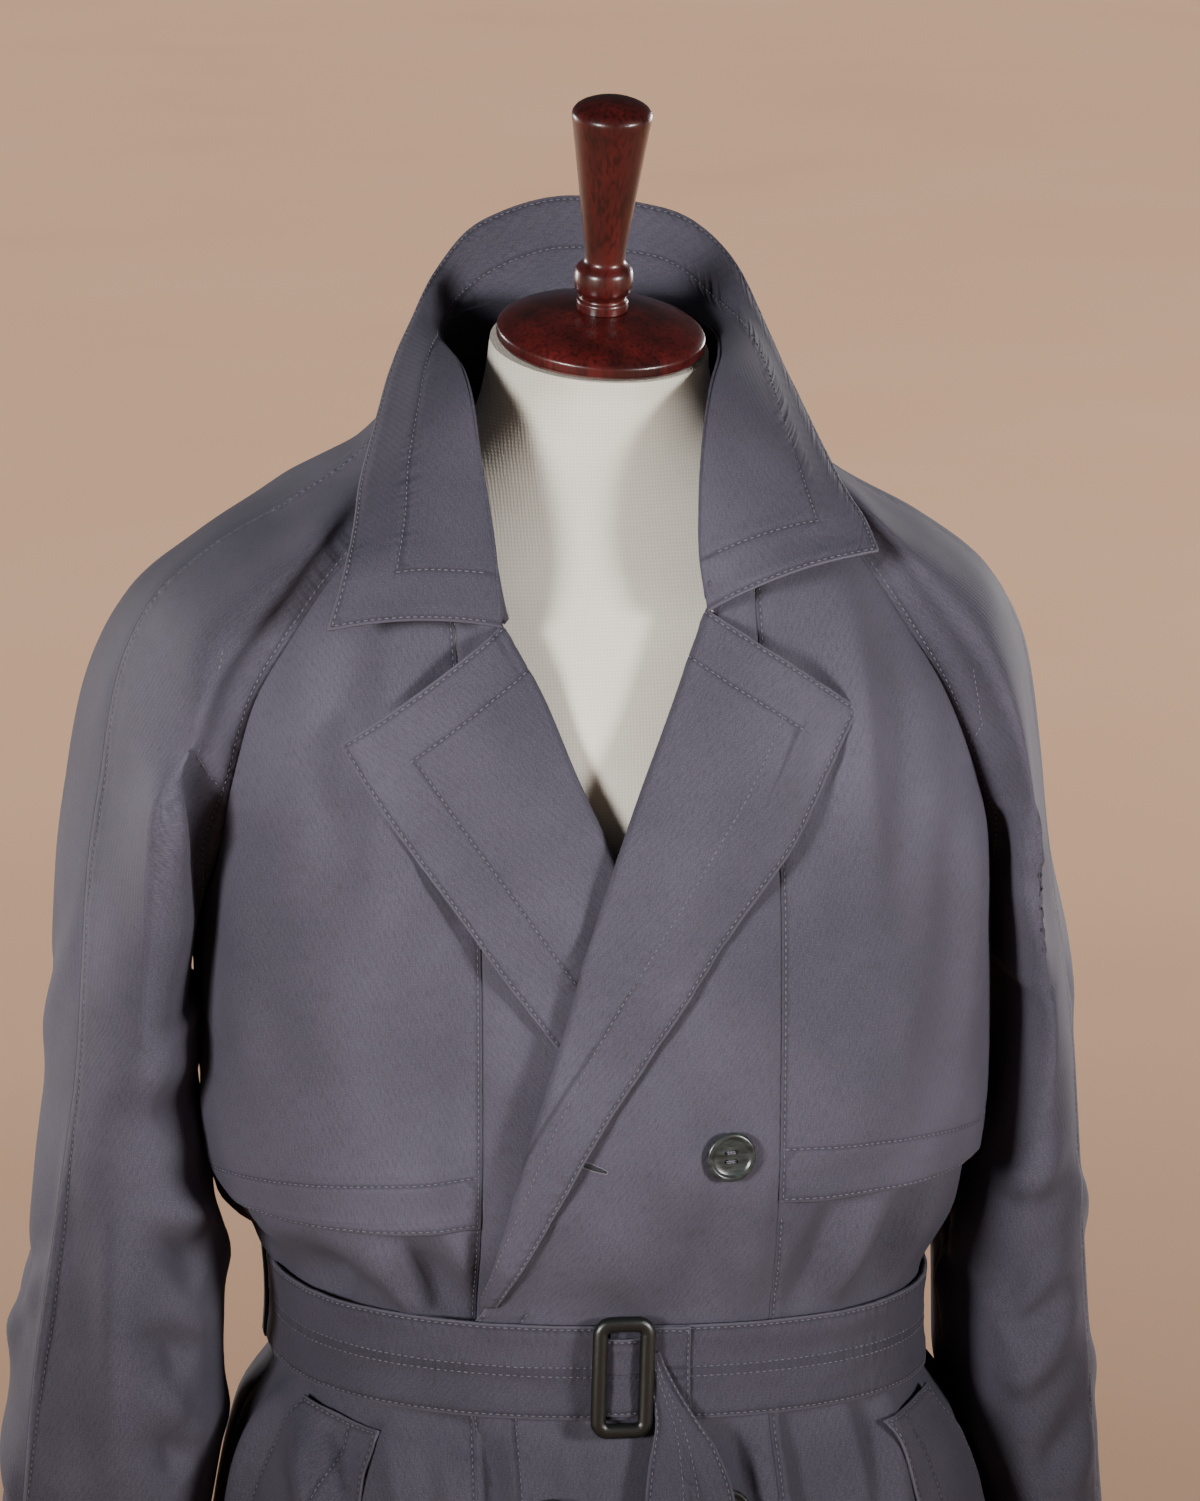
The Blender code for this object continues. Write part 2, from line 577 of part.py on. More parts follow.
def sleeve_rails(side, at):
    """The front seam, front, outer seam, back and back seam points at a row of SLEEVE."""
    row = row_at(SLEEVE, at / (len(SLEEVE) - 1))
    inner_x, inner_z, left_x, right_x, outer_z, middle, mid_z, front_y, back_y = row
    down = soft_step(at, RAGLAN_ROWS, len(SLEEVE) - 1)
    waist = soft_step(at, RAGLAN_ROWS, RAGLAN_ROWS + 3) * (1 - 0.5 * soft_step(at, 12, 15))
    drop = SHOULDER_DROP[side] * soft_step(at, 0, 1) * (1 - soft_step(at, 2, 4))
    swing = SLEEVE_BACK[side] * down
    outer_x = left_x if side == LEFT else -right_x
    outer = np.array([outer_x, -0.006 + swing - 0.030 * soft_step(at, 3, 10), outer_z - drop])
    if at <= RAGLAN_ROWS:
        back_z = ARMPIT + (inner_z - ARMPIT) * (BACK_TOP - ARMPIT) / (FRONT_TOP - ARMPIT)
        seam_front = body(side, raglan_angle(inner_z), inner_z, FLAP_OUT, folds=False)
        seam_back = body(side, 180 - raglan_angle(inner_z), back_z, 0.0, folds=False)
        near = soft_step(at, RAGLAN_ROWS - 2, RAGLAN_ROWS)
        seam_front[0] += side * 0.0015 * near
        seam_back[0] += side * 0.0040 * near
    else:
        inner = side * (inner_x - SLEEVE_IN[side] * waist)
        seam_front = seam_back = np.array([inner, UNDERARM_Y + swing, inner_z])
    front, back = [
        np.array([seam[0] + middle * (outer_x - seam[0]), y + swing, mid_z - drop])
        for seam, y in ((seam_front, front_y), (seam_back, back_y))
    ]
    rails = [seam_front, front, outer, back, seam_back]
    if at < 1:
        for i, angle in enumerate(NECK_ANGLES):
            level = smooth_through([a for a, _ in NECKLINE], [z for _, z in NECKLINE], angle)
            neck = body(side, angle, level, FLAP_OUT * (1 - i / 4), folds=False)
            rails[i] = rails[i] * at + neck * (1 - at)
    return rails


def sleeve_point(side, at, across, half):
    """A point of the sleeve's outer face. Across runs from 0 at the inner seam to 1 at the outer one."""
    seam_front, front, outer, back, seam_back = sleeve_rails(side, at)
    seam, middle = (seam_front, front) if half == "front" else (seam_back, back)
    lean_back = side * SLEEVE_BULGE * soft_step(at, 2, 6)
    if half == "front":
        lean_back *= -(outer[1] - front[1]) / (back[1] - outer[1])
    if across < 0.5:
        a, b, corner = seam, middle, np.array([seam[0], middle[1], seam[2]])
    else:
        a, b, corner = middle, outer, np.array([outer[0] + lean_back, middle[1], outer[2]])
    round_off = soft_step(at, 1, 3) if across < 0.5 else 0.5 + 0.5 * soft_step(at, 0, 2)
    corner = corner * round_off + (a + b) / 2 * (1 - round_off)
    return quarter(a, corner, b, across * 2 % 1 if across < 1 else 1.0)


def add_sleeves(cloth):
    """Two-piece raglan sleeves: a front and a back half that meet along the shoulder and under the arm."""
    rows = list(RAGLAN_STEPS) + spread(RAGLAN_ROWS, len(SLEEVE) - 1, 9)[1:]
    for side in (LEFT, RIGHT):
        for half in ("front", "back"):
            grid = [[sleeve_point(side, at, across, half) for across in spread(0, 1, 9)] for at in rows]
            grid = held_back(grid, first=RAGLAN_SEAM, last=SEAM)
            outward = (half == "front") == (side == LEFT)
            sheet(sided(f"sleeve_{half}", side), grid, cloth, flip=outward)


# ---------------------------------------------------------------- collar and lapels
def collar_rails(share):
    """Neck seam, crest and edge at a share of the collar's length, from the right notch to the left one."""
    rows = len(NECKLINE)
    side = RIGHT if share <= 0.5 else LEFT
    at = (1 - abs(2 * share - 1)) * (rows - 1)
    angle, z = row_at(NECKLINE, at / (rows - 1))
    neck = body(side, angle, z, 0.0004, folds=False)
    neck[2] += 0.0009
    table = [*COLLAR[RIGHT], COLLAR_BACK, *COLLAR[LEFT][::-1]]
    rails = row_at(table, share)
    return neck, rails[:3], rails[3:]


def add_collar(cloth):
    """A stand round the neck and a wide leaf that stands up behind and falls open in front."""
    stand, leaf = [], []
    for share in spread(0.0, 1.0, 33):
        neck, crest, edge = collar_rails(share)
        up = (crest - neck) / np.linalg.norm(crest - neck)
        stand.append([neck, (neck + crest) / 2, crest - SEAM * up])
        flat = abs(2 * share - 1)  # 0 at the centre back, 1 at the notches
        lifted = (crest + edge) / 2 + np.array(COLLAR_BULGE) * (0.3 + 0.7 * flat)
        row = []
        for across in (0.0, 0.09, 0.26, 0.50, 0.75, 1.0):
            row.append((1 - across) ** 2 * crest + 2 * across * (1 - across) * lifted + across**2 * edge)
        leaf.append(row)
    stand = held_back(stand, low=0.014, high=0.014)
    sheet("collar_stand", stand, cloth)
    sheet("collar", leaf, cloth)


def lapel_row(side, share, columns):
    """Points across a lapel: the leg turned in behind the front's edge, the roll, and the face."""
    roll_x, roll_z, edge_x, edge_z = row_at(LAPEL[side], share)
    way = np.array([edge_x - roll_x, edge_z - roll_z])
    width = float(np.linalg.norm(way))
    way /= width
    crossing = side == RIGHT
    points = []
    radius = LAPEL_ROLL
    bends = [(min(LAPEL_LEG, 0.6 * width), -radius), (radius, -radius), (0.3 * radius, -0.72 * radius),
             (0.0, 0.0), (0.3 * radius, 0.72 * radius), (radius, radius)]
    for along, out in bends:
        points.append(chest(side, roll_x + way[0] * along, roll_z + way[1] * along, out))
    for across in columns:
        along = radius + (width - radius) * across
        x, z = roll_x + way[0] * along, roll_z + way[1] * along
        over_flap = soft_step(side * (x - seam_x(side, z)), -0.035, 0.004)
        free = soft_step(share, 0.62, 0.9) if crossing else soft_step(share, 0.25, 0.7)
        spring = 0.0055 * math.sin(math.pi * min(1.0, across * 1.02)) * free
        lift = 0.0036 * over_flap + (0.0012 * free if crossing else 0.0)
        points.append(chest(side, x, z, radius + lift + spring))
    return points


def add_lapels(cloth):
    for side in (LEFT, RIGHT):
        rows = {LEFT: 17, RIGHT: 15}[side]
        grid = [lapel_row(side, share, (0.14, 0.34, 0.56, 0.78, 1.0)) for share in spread(0, 1, rows)]
        sheet(sided("lapel", side), grid, cloth, wall=LAPEL_CLOTH, flip=side == RIGHT)


# ---------------------------------------------------------------- belt
def belt_point(turn, across, out):
    """Turn is the angle from centre front, positive to the wearer's left and past 180 round the back."""
    side = LEFT if turn % 360 <= 180 else RIGHT
    angle = turn % 360 if side == LEFT else 360 - turn % 360
    point = plain(side, angle, BELT_HEIGHT + (across - 0.5) * BELT_WIDTH, out)
    waist = plain(side, angle, BELT_HEIGHT, out)
    waist[2] = point[2]
    return BELT_FLARE * point + (1 - BELT_FLARE) * waist


def add_belt(cloth, leather):
    """The band goes once round from the buckle's bar, and its end comes back through the frame."""
    start, end = -3.6, 355.6
    turns = spread(start, end, 59)
    grid = [[belt_point(turn, across, BELT_OUT) for turn in turns] for across in (0.0, 0.5, 1.0)]
    sheet("belt", grid, cloth, wall=BELT_CLOTH)

    rows = []
    for share in spread(0, 1, 17):
        x, z, half, out = row_at(TAIL, share)
        row = []
        for across in (-1, -0.4, 0.4, 1):
            row.append(chest(LEFT, x + half * across, z, out + TAIL_CROWN * (1 - across**2)))
        rows.append(row)
    sheet("belt_tail", rows, cloth, wall=BELT_CLOTH, flip=True)

    for side in (LEFT, RIGHT):
        loop = []
        for across in spread(0, 1, 9):
            level = BELT_HEIGHT + (across - 0.5) * (BELT_WIDTH + 0.009)
            out = 0.0034 + 0.0044 * min(1.0, 3.0 * math.sin(math.pi * across))
            loop.append([body(side, angle, level, out, folds=False) for angle in (95.0, 98.0, 101.0)])
        sheet(sided("belt_loop", side), loop, cloth, flip=side == RIGHT)
    add_buckle(leather)


def add_buckle(leather):
    """A leather-covered frame with rounded corners, standing on edge in front of the band."""
    half_x, half_z = BUCKLE_WIDTH / 2 - BUCKLE_BAR, BUCKLE_HEIGHT / 2 - BUCKLE_BAR
    corner = 0.0055
    path = []
    for turn in range(16):
        a = math.tau * (turn + 0.5) / 16
        x = math.copysign(half_x - corner, math.cos(a)) + corner * math.cos(a)
        z = math.copysign(half_z - corner, math.sin(a)) + corner * math.sin(a)
        path.append((x, z))
    curve = bpy.data.curves.new("buckle", "CURVE")
    curve.dimensions = "3D"
    curve.bevel_depth = BUCKLE_BAR
    curve.bevel_resolution = 2
    spline = curve.splines.new("POLY")
    spline.points.add(len(path) - 1)
    spline.use_cyclic_u = True
    front = chest(LEFT, BUCKLE_X, BELT_HEIGHT, 0.0)
    for point, (x, z) in zip(spline.points, path):
        point.co = (x, 0, z, 1)
    frame = bpy.data.objects.new("buckle", curve)
    frame.location = (BUCKLE_X, front[1] - BUCKLE_OUT, front[2])
    frame.rotation_euler = (0, BUCKLE_TURN, 0)
    bpy.context.scene.collection.objects.link(frame)
    curve.materials.append(leather)


# ---------------------------------------------------------------- buttons
def add_buttons(horn):
    """Buttons with a raised rim. The first row's left one would be under the lapel, so it isn't built."""
    profile = ((0.0085, 0.0), (0.0122, 0.0008), (BUTTON_RADIUS, 0.0022), (0.0124, 0.0038),
               (0.0110, BUTTON_THICK), (0.0090, 0.0028))
    places = [(LEFT, BUTTON_ROWS[0])] + [(side, z) for z in BUTTON_ROWS[1:] for side in (LEFT, RIGHT)]
    for number, (side, z) in enumerate(places, 1):
        x = BUTTON_COLUMNS[side]
        at = chest(LEFT, x, z, 0.0012)
        beside, above = chest(LEFT, x + 0.004, z, 0.0012), chest(LEFT, x, z + 0.004, 0.0012)
        right = (beside - at) / np.linalg.norm(beside - at)
        normal = np.cross(right, above - at)
        normal /= np.linalg.norm(normal)
        up = np.cross(normal, right)
        turn = np.eye(4)
        turn[:3, 0], turn[:3, 1], turn[:3, 2] = right, up, normal
        turn[:3, 3] = at
        turned(f"button_{number}", profile, horn, segments=16, place=Matrix(turn.tolist()))


# ---------------------------------------------------------------- dress form and stand
def add_form(canvas, wood, steel):
    """The padded torso with its neck, the turned cap and finial, and a pole on a round plate."""
    segments = 28
    bm = bmesh.new()
    loops = []
    for half, front, back, square, middle, z in [
        (*smooth_through([r[0] for r in FORM], [r[1:] for r in FORM], z), z)
        for z in stretches((0.80, 1.20, 4), (1.20, 1.36, 4), (1.36, 1.476, 6))
    ]:
        loop = []
        for i in range(segments):
            a = math.tau * i / segments
            s, c = math.sin(a), math.cos(a)
            depth = front if c > 0 else back
            x = math.copysign(abs(s) ** (2 / square), s) * half
            y = middle - math.copysign(abs(c) ** (2 / square), c) * depth
            top = soft_step(z, 1.445, 1.476)
            tilt = top * (math.tan(NECK_TILT) * (y - NECK_TOP[1]) - math.tan(NECK_SIDE_TILT) * x)
            loop.append(bm.verts.new((x, y, z + tilt)))
        loops.append(loop)
    for lower, upper in zip(loops, loops[1:]):
        for i in range(segments):
            j = (i + 1) % segments
            bm.faces.new((lower[i], lower[j], upper[j], upper[i]))
    bm.faces.new(loops[0][::-1])
    bm.faces.new(loops[-1])
    bmesh.ops.recalc_face_normals(bm, faces=bm.faces)
    mesh = bpy.data.meshes.new("dress_form")
    bm.to_mesh(mesh)
    bm.free()
    add_object("dress_form", mesh, canvas)

    for name, profile in (("neck_cap", NECK_CAP), ("finial", FINIAL)):
        part = turned(name, profile, wood, segments=22)
        part.location = NECK_TOP
        side_tilt = {"neck_cap": NECK_SIDE_TILT, "finial": FINIAL_SIDE_TILT}[name]
        part.rotation_euler = (NECK_TILT, side_tilt, 0)

    pole = ((POLE_RADIUS, BASE_THICK + 0.0005), (POLE_RADIUS, FORM[0][0] - 0.0005))
    turned("stand_pole", pole, steel, segments=20)
    base = ((BASE_RADIUS, 0.0), (BASE_RADIUS, BASE_THICK - 0.003), (BASE_RADIUS - 0.004, BASE_THICK))
    turned("stand_base", base, steel, segments=48)


def main():
    for obj in list(bpy.data.objects):
        bpy.data.objects.remove(obj)
    looks = make_materials()
    cloth = looks["gabardine"]
    add_fronts(cloth)
    add_side_fronts(cloth)
    add_backs(cloth)
    add_storm_flaps(cloth)
    add_welts(cloth)
    add_sleeves(cloth)
    add_collar(cloth)
    add_lapels(cloth)
    add_belt(cloth, looks["buckle_leather"])
    add_buttons(looks["button_horn"])
    add_form(looks["canvas"], looks["stained_wood"], looks["painted_steel"])


main()
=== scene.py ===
# %% [markdown]
# # A belted trench coat on a tailor's dress form
# A double-breasted coat with raglan sleeves hangs on a padded form without arms or legs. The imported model
# gives the frame: plain solids at their real places. Each one is replaced here by a finer piece of the same
# form, with its folds, its stitching and its finish.

# %% Load the frame
import functools
import math

import bmesh
import bpy
import numpy as np
from mathutils import Matrix, Vector, noise


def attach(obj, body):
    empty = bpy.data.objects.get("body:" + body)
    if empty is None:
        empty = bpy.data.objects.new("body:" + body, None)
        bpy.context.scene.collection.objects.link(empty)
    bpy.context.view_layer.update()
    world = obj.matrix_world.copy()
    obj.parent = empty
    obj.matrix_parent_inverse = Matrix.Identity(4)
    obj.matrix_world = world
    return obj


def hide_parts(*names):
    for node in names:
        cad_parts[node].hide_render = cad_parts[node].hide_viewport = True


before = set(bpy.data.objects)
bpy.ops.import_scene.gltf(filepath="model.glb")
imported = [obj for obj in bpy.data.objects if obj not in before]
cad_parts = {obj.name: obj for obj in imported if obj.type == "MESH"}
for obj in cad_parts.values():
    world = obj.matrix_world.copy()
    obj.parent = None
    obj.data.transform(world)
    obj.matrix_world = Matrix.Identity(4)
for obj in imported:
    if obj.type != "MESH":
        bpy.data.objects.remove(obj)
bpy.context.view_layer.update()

# %% [markdown]
# ## Sizes of the pattern
# A coat is cut from flat pieces, so it is best described by the sizes a cutter would note: where the belt
# lies, how far one front laps over the other, how far the flap's hem stands off. All are in metres.

# %% Driving sizes
LEFT, RIGHT = 1, -1  # the wearer's sides, as signs of X
SIDE_NAME = {LEFT: "left", RIGHT: "right"}

CLOTH = 0.0016  # wall of one made-up layer: face cloth and its turned hem
LAPEL_CLOTH = 0.0014
BELT_CLOTH = 0.0024
SEAM = 0.00004  # what each panel is held back from a seam line

HEM = 0.400
FRONT_TOP = 1.438  # the neck ends of the raglan seams
BACK_TOP = 1.4535
ARMPIT = 1.150
BELT_HEIGHT = 0.966
BELT_WIDTH = 0.050
BELT_OUT = 0.0050  # its outer face stands this far off the body
BELT_FLARE = 0.55  # how far its edges follow the body out
BELT_TILT = -0.040  # the waist and its belt drop towards the wearer's left
CLOSING_EDGE = -0.086  # the left front laps over the right one as far as this X
UNDER_EDGE = 0.060  # and the right front reaches this far below it
FLAP_HEM = {LEFT: 1.056, RIGHT: 1.046}
FLAP_OUT = 0.0026
FLAP_HANG = 0.0080  # how far the flap's free hem stands off the body
FLAP_SIDE_ANGLE = 80.0
LAP_SINK = 0.0096  # the right front lies this far under the left one above the belt
SKIRT_SINK = 0.0032

BUTTON_RADIUS = 0.0131
BUTTON_THICK = 0.0042
BUTTON_COLUMNS = {LEFT: 0.0410, RIGHT: -0.0490}
BUTTON_ROWS = (1.085, 0.893, 0.701)

BUCKLE_X = -0.0110
BUCKLE_HEIGHT = 0.0650
BUCKLE_WIDTH = 0.0325
BUCKLE_BAR = 0.0040
BUCKLE_OUT = 0.0120  # its middle plane stands this far off the body
BUCKLE_TURN = math.radians(1.7)

# Stitch lines, by how far they run inside the edge or seam that they follow.
EDGE_LINE = 0.002
FRONT_LINE = 0.022
WELT_LINE = 0.020
LEAF_LINE = 0.028  # round the collar and the lapels
LEAF_END_LINE = 0.026
FLAP_LINE = 0.029
BELT_LINE = 0.0237
FOLD_LINE = 0.0222
FOLD_END_LINE = 0.0012
STAND_LINE = 0.003
SLEEVE_LINES = (0.003, 0.006)  # beside the raglan seam, and beside the seam along the arm
HEM_TURN = 0.030  # the line that holds the turned-up hem

POLE_RADIUS = 0.0125
BASE_RADIUS = 0.190
BASE_THICK = 0.014


def sided(name, side):
    return f"{name}_{SIDE_NAME[side]}"


# %% [markdown]
# ## Tables of sections
# Short tables hold what a fitter could measure: rings round the body, sections down the sleeve, rails along
# the collar. A smooth curve through each column gives every point in between.

# %% Tables
# The body as level rings: height, half width, depth in front and behind, squareness.
BODY_RINGS = (
    (0.400, 0.252, 0.196, 0.200, 2.15),
    (0.600, 0.234, 0.188, 0.190, 2.20),
    (0.760, 0.213, 0.176, 0.173, 2.25),
    (0.850, 0.203, 0.166, 0.157, 2.30),
    (0.905, 0.190, 0.148, 0.141, 2.35),
    (0.938, 0.171, 0.1325, 0.119, 2.40),
    (0.966, 0.168, 0.130, 0.115, 2.40),
    (0.994, 0.171, 0.1325, 0.118, 2.40),
    (1.030, 0.189, 0.147, 0.135, 2.40),
    (1.080, 0.200, 0.156, 0.142, 2.40),
    (1.150, 0.206, 0.157, 0.145, 2.40),
    (1.220, 0.207, 0.154, 0.144, 2.40),
    (1.300, 0.199, 0.142, 0.137, 2.40),
    (1.360, 0.180, 0.123, 0.124, 2.40),
    (1.400, 0.152, 0.100, 0.108, 2.30),
    (1.440, 0.103, 0.062, 0.086, 2.20),
    (1.460, 0.088, 0.050, 0.080, 2.10),
)
# The coat hangs a little towards the wearer's right above the chest: height, shift in X.
LEAN = ((0.0, 0.0), (0.980, 0.0), (1.080, -0.006), (1.150, -0.005), (1.225, -0.005), (1.270, -0.008),
        (1.340, -0.014), (1.385, -0.013), (1.450, -0.0085))
# The raglan seam round the ring, the same in front and behind: height, angle from centre front.
RAGLAN = ((1.150, 90.0), (1.185, 82.0), (1.225, 72.0), (1.270, 66.0), (1.310, 60.0), (1.340, 54.0),
          (1.370, 49.0), (1.405, 44.5), (1.440, 45.5))
# The neckline: angle from centre front, height.
NECKLINE = ((12.8, 1.352), (16.0, 1.378), (20.5, 1.402), (29.0, 1.422), (42.0, 1.437), (65.0, 1.444),
            (90.0, 1.447), (115.0, 1.450), (140.0, 1.454), (180.0, 1.458))
# Folds of the body: angle (positive to the wearer's left), half spread, depth, top, deepest height,
# bottom (0 where they run out over the hem).
FOLDS = (
    (-166, 12, 0.011, 0.945, 0.55, 0.00),
    (-141, 12, 0.014, 0.945, 0.50, 0.00),
    (-114, 11, 0.011, 0.945, 0.60, 0.00),
    (-86, 9, 0.008, 0.945, 0.62, 0.00),
    (-60, 9, 0.007, 0.930, 0.50, 0.00),
    (-33, 7, -0.007, 0.945, 0.86, 0.55),
    (30, 8, -0.005, 0.945, 0.84, 0.50),
    (58, 10, 0.007, 0.940, 0.52, 0.00),
    (87, 9, 0.008, 0.945, 0.62, 0.00),
    (115, 11, 0.012, 0.945, 0.58, 0.00),
    (142, 12, 0.014, 0.945, 0.50, 0.00),
    (167, 11, 0.010, 0.945, 0.55, 0.00),
    (-152, 9, 0.006, 1.180, 1.03, 0.990),
    (-122, 9, 0.007, 1.160, 1.03, 0.990),
    (-70, 8, 0.004, 1.110, 1.03, 0.992),
    (-46, 8, -0.004, 1.110, 1.02, 0.992),
    (48, 9, -0.005, 1.110, 1.03, 0.992),
    (72, 8, 0.004, 1.110, 1.03, 0.992),
    (124, 9, 0.007, 1.160, 1.03, 0.990),
    (154, 9, 0.006, 1.180, 1.03, 0.990),
)
# A sleeve's sections from neck to cuff: the inner seam (distance out and height; on the raglan part the
# height picks the point of the raglan seam), the outer seam of each sleeve, the middle of its front and
# back (a share of the way from inner to outer seam, height), and their depths.
SLEEVE = (
    # inner_x inner_z left_x right_x outer_z middle mid_z  front_y  back_y
    (0.000, 1.438, 0.0890, 0.1060, 1.447, 0.300, 1.443, -0.0420, 0.0560),
    (0.000, 1.405, 0.1008, 0.1232, 1.429, 0.300, 1.421, -0.0500, 0.0640),
    (0.000, 1.370, 0.1315, 0.1595, 1.404, 0.400, 1.394, -0.0880, 0.0900),
    (0.000, 1.340, 0.1720, 0.2000, 1.380, 0.490, 1.354, -0.0960, 0.1020),
    (0.000, 1.310, 0.2075, 0.2330, 1.350, 0.510, 1.314, -0.0980, 0.1100),
    (0.000, 1.270, 0.2260, 0.2515, 1.310, 0.540, 1.268, -0.0960, 0.1100),
    (0.000, 1.225, 0.2320, 0.2608, 1.262, 0.570, 1.220, -0.0900, 0.1050),
    (0.000, 1.185, 0.2365, 0.2692, 1.212, 0.520, 1.175, -0.0850, 0.1000),
    (0.208, 1.150, 0.2430, 0.2735, 1.160, 0.520, 1.132, -0.0810, 0.0950),
    (0.212, 1.105, 0.2490, 0.2772, 1.115, 0.475, 1.090, -0.0770, 0.0890),
    (0.209, 1.050, 0.2540, 0.2860, 1.055, 0.450, 1.045, -0.0740, 0.0830),
    (0.205, 0.990, 0.2585, 0.2945, 1.000, 0.430, 0.990, -0.0720, 0.0770),
    (0.205, 0.930, 0.2630, 0.3030, 0.945, 0.430, 0.935, -0.0700, 0.0700),
    (0.212, 0.870, 0.2685, 0.3095, 0.880, 0.420, 0.874, -0.0690, 0.0620),
    (0.224, 0.810, 0.2740, 0.3145, 0.820, 0.420, 0.814, -0.0690, 0.0540),
    (0.233, 0.758, 0.2790, 0.3190, 0.766, 0.420, 0.762, -0.0690, 0.0480),
)
RAGLAN_ROWS = 8  # the sections whose inner seam is the raglan seam
SLEEVE_BULGE = 0.035  # the seam runs in front of the sleeve's widest part: how far its section leans back
NECK_ANGLES = (45.5, 62.0, 90.0, 118.0, 134.5)  # where the sleeve's seams and middles meet the neckline
SHOULDER_DROP = {LEFT: 0.0, RIGHT: 0.002}
UNDERARM_Y = 0.004
SLEEVE_BACK = {LEFT: 0.018, RIGHT: 0.000}  # how far back each cuff hangs
SLEEVE_IN = {LEFT: 0.015, RIGHT: 0.006}  # how far in its inner seam hangs at the waist
# The collar's rails from the notch to the centre back, one row for each row of NECKLINE: crest X Y Z,
# edge X Y Z.
COLLAR = {
    RIGHT: (
        (-0.0720, -0.1300, 1.3560, -0.1590, -0.1400, 1.3590),
        (-0.0730, -0.1220, 1.3870, -0.1490, -0.1260, 1.3820),
        (-0.0745, -0.1060, 1.4130, -0.1400, -0.1010, 1.3990),
        (-0.0760, -0.0860, 1.4380, -0.1320, -0.0700, 1.4180),
        (-0.0760, -0.0630, 1.4600, -0.1185, -0.0330, 1.4430),
        (-0.0770, -0.0340, 1.4730, -0.1055, 0.0020, 1.4640),
        (-0.0800, 0.0040, 1.4780, -0.0905, 0.0330, 1.4830),
        (-0.0725, 0.0420, 1.4820, -0.0725, 0.0620, 1.5060),
        (-0.0460, 0.0690, 1.4860, -0.0480, 0.0850, 1.5260),
    ),
    LEFT: (
        (0.0355, -0.1300, 1.3610, 0.1215, -0.1260, 1.3860),
        (0.0335, -0.1190, 1.3870, 0.1200, -0.1060, 1.3960),
        (0.0360, -0.1050, 1.4130, 0.1150, -0.0780, 1.4080),
        (0.0410, -0.0880, 1.4400, 0.1100, -0.0480, 1.4230),
        (0.0490, -0.0650, 1.4620, 0.1045, -0.0150, 1.4410),
        (0.0590, -0.0360, 1.4750, 0.0995, 0.0160, 1.4590),
        (0.0640, 0.0040, 1.4790, 0.0940, 0.0430, 1.4790),
        (0.0590, 0.0420, 1.4820, 0.0845, 0.0680, 1.5050),
        (0.0370, 0.0690, 1.4860, 0.0575, 0.0920, 1.5285),
    ),
}
COLLAR_BACK = (-0.0040, 0.0800, 1.4870, 0.0020, 0.0990, 1.5370)
COLLAR_BULGE = (0.0, -0.006, 0.010)
# The lapels from below: roll line X Z, outer edge X Z.
LAPEL = {
    LEFT: (
        (-0.0825, 1.003, -0.0735, 1.003),
        (-0.0765, 1.030, -0.0610, 1.030),
        (-0.0630, 1.088, -0.0330, 1.088),
        (-0.0470, 1.142, 0.0000, 1.140),
        (-0.0320, 1.195, 0.0330, 1.190),
        (-0.0160, 1.242, 0.0630, 1.232),
        (0.0010, 1.285, 0.0850, 1.265),
        (0.0180, 1.325, 0.0990, 1.291),
        (0.0345, 1.360, 0.1080, 1.308),
    ),
    RIGHT: (
        (0.0440, 1.060, 0.0290, 1.052),
        (0.0300, 1.100, 0.0000, 1.086),
        (0.0140, 1.150, -0.0360, 1.130),
        (-0.0020, 1.200, -0.0720, 1.178),
        (-0.0170, 1.243, -0.0980, 1.217),
        (-0.0340, 1.282, -0.1190, 1.250),
        (-0.0510, 1.323, -0.1350, 1.277),
        (-0.0690, 1.356, -0.1460, 1.298),
    ),
}
LAPEL_ROLL = 0.0044  # radius of the soft fold at the roll line
NECK_BACK_ANGLE = 0.2  # and above the lapel it stops this many degrees short of the neckline
EDGE_BACK = 0.0047  # the front's edge stops this far inside the fold
LAPEL_LEG = 0.0090  # what is turned in behind the front's edge
# The pocket welts from the top: angle and level of the long inner edge and of the free outer one.
WELT = (
    (43.5, 0.927, 67.0, 0.934),
    (45.0, 0.890, 71.5, 0.897),
    (47.5, 0.850, 74.5, 0.856),
    (53.0, 0.775, 79.0, 0.780),
)
# The belt's hanging end: centre X, height, half width, stand-off.
TAIL = (
    (0.0094, 0.9780, 0.0036, 0.0094),
    (0.0112, 0.9640, 0.0054, 0.0102),
    (0.0162, 0.9420, 0.0104, 0.0116),
    (0.0190, 0.9260, 0.0170, 0.0124),
    (0.0198, 0.9080, 0.0222, 0.0124),
    (0.0198, 0.8900, 0.0242, 0.0118),
    (0.0200, 0.8500, 0.0250, 0.0085),
    (0.0202, 0.7900, 0.0250, 0.0062),
    (0.0205, 0.7500, 0.0240, 0.0054),
    (0.0205, 0.7380, 0.0150, 0.0052),
    (0.0205, 0.7270, 0.0030, 0.0051),
)
TAIL_CROWN = 0.0016  # its middle stands this far in front of its edges
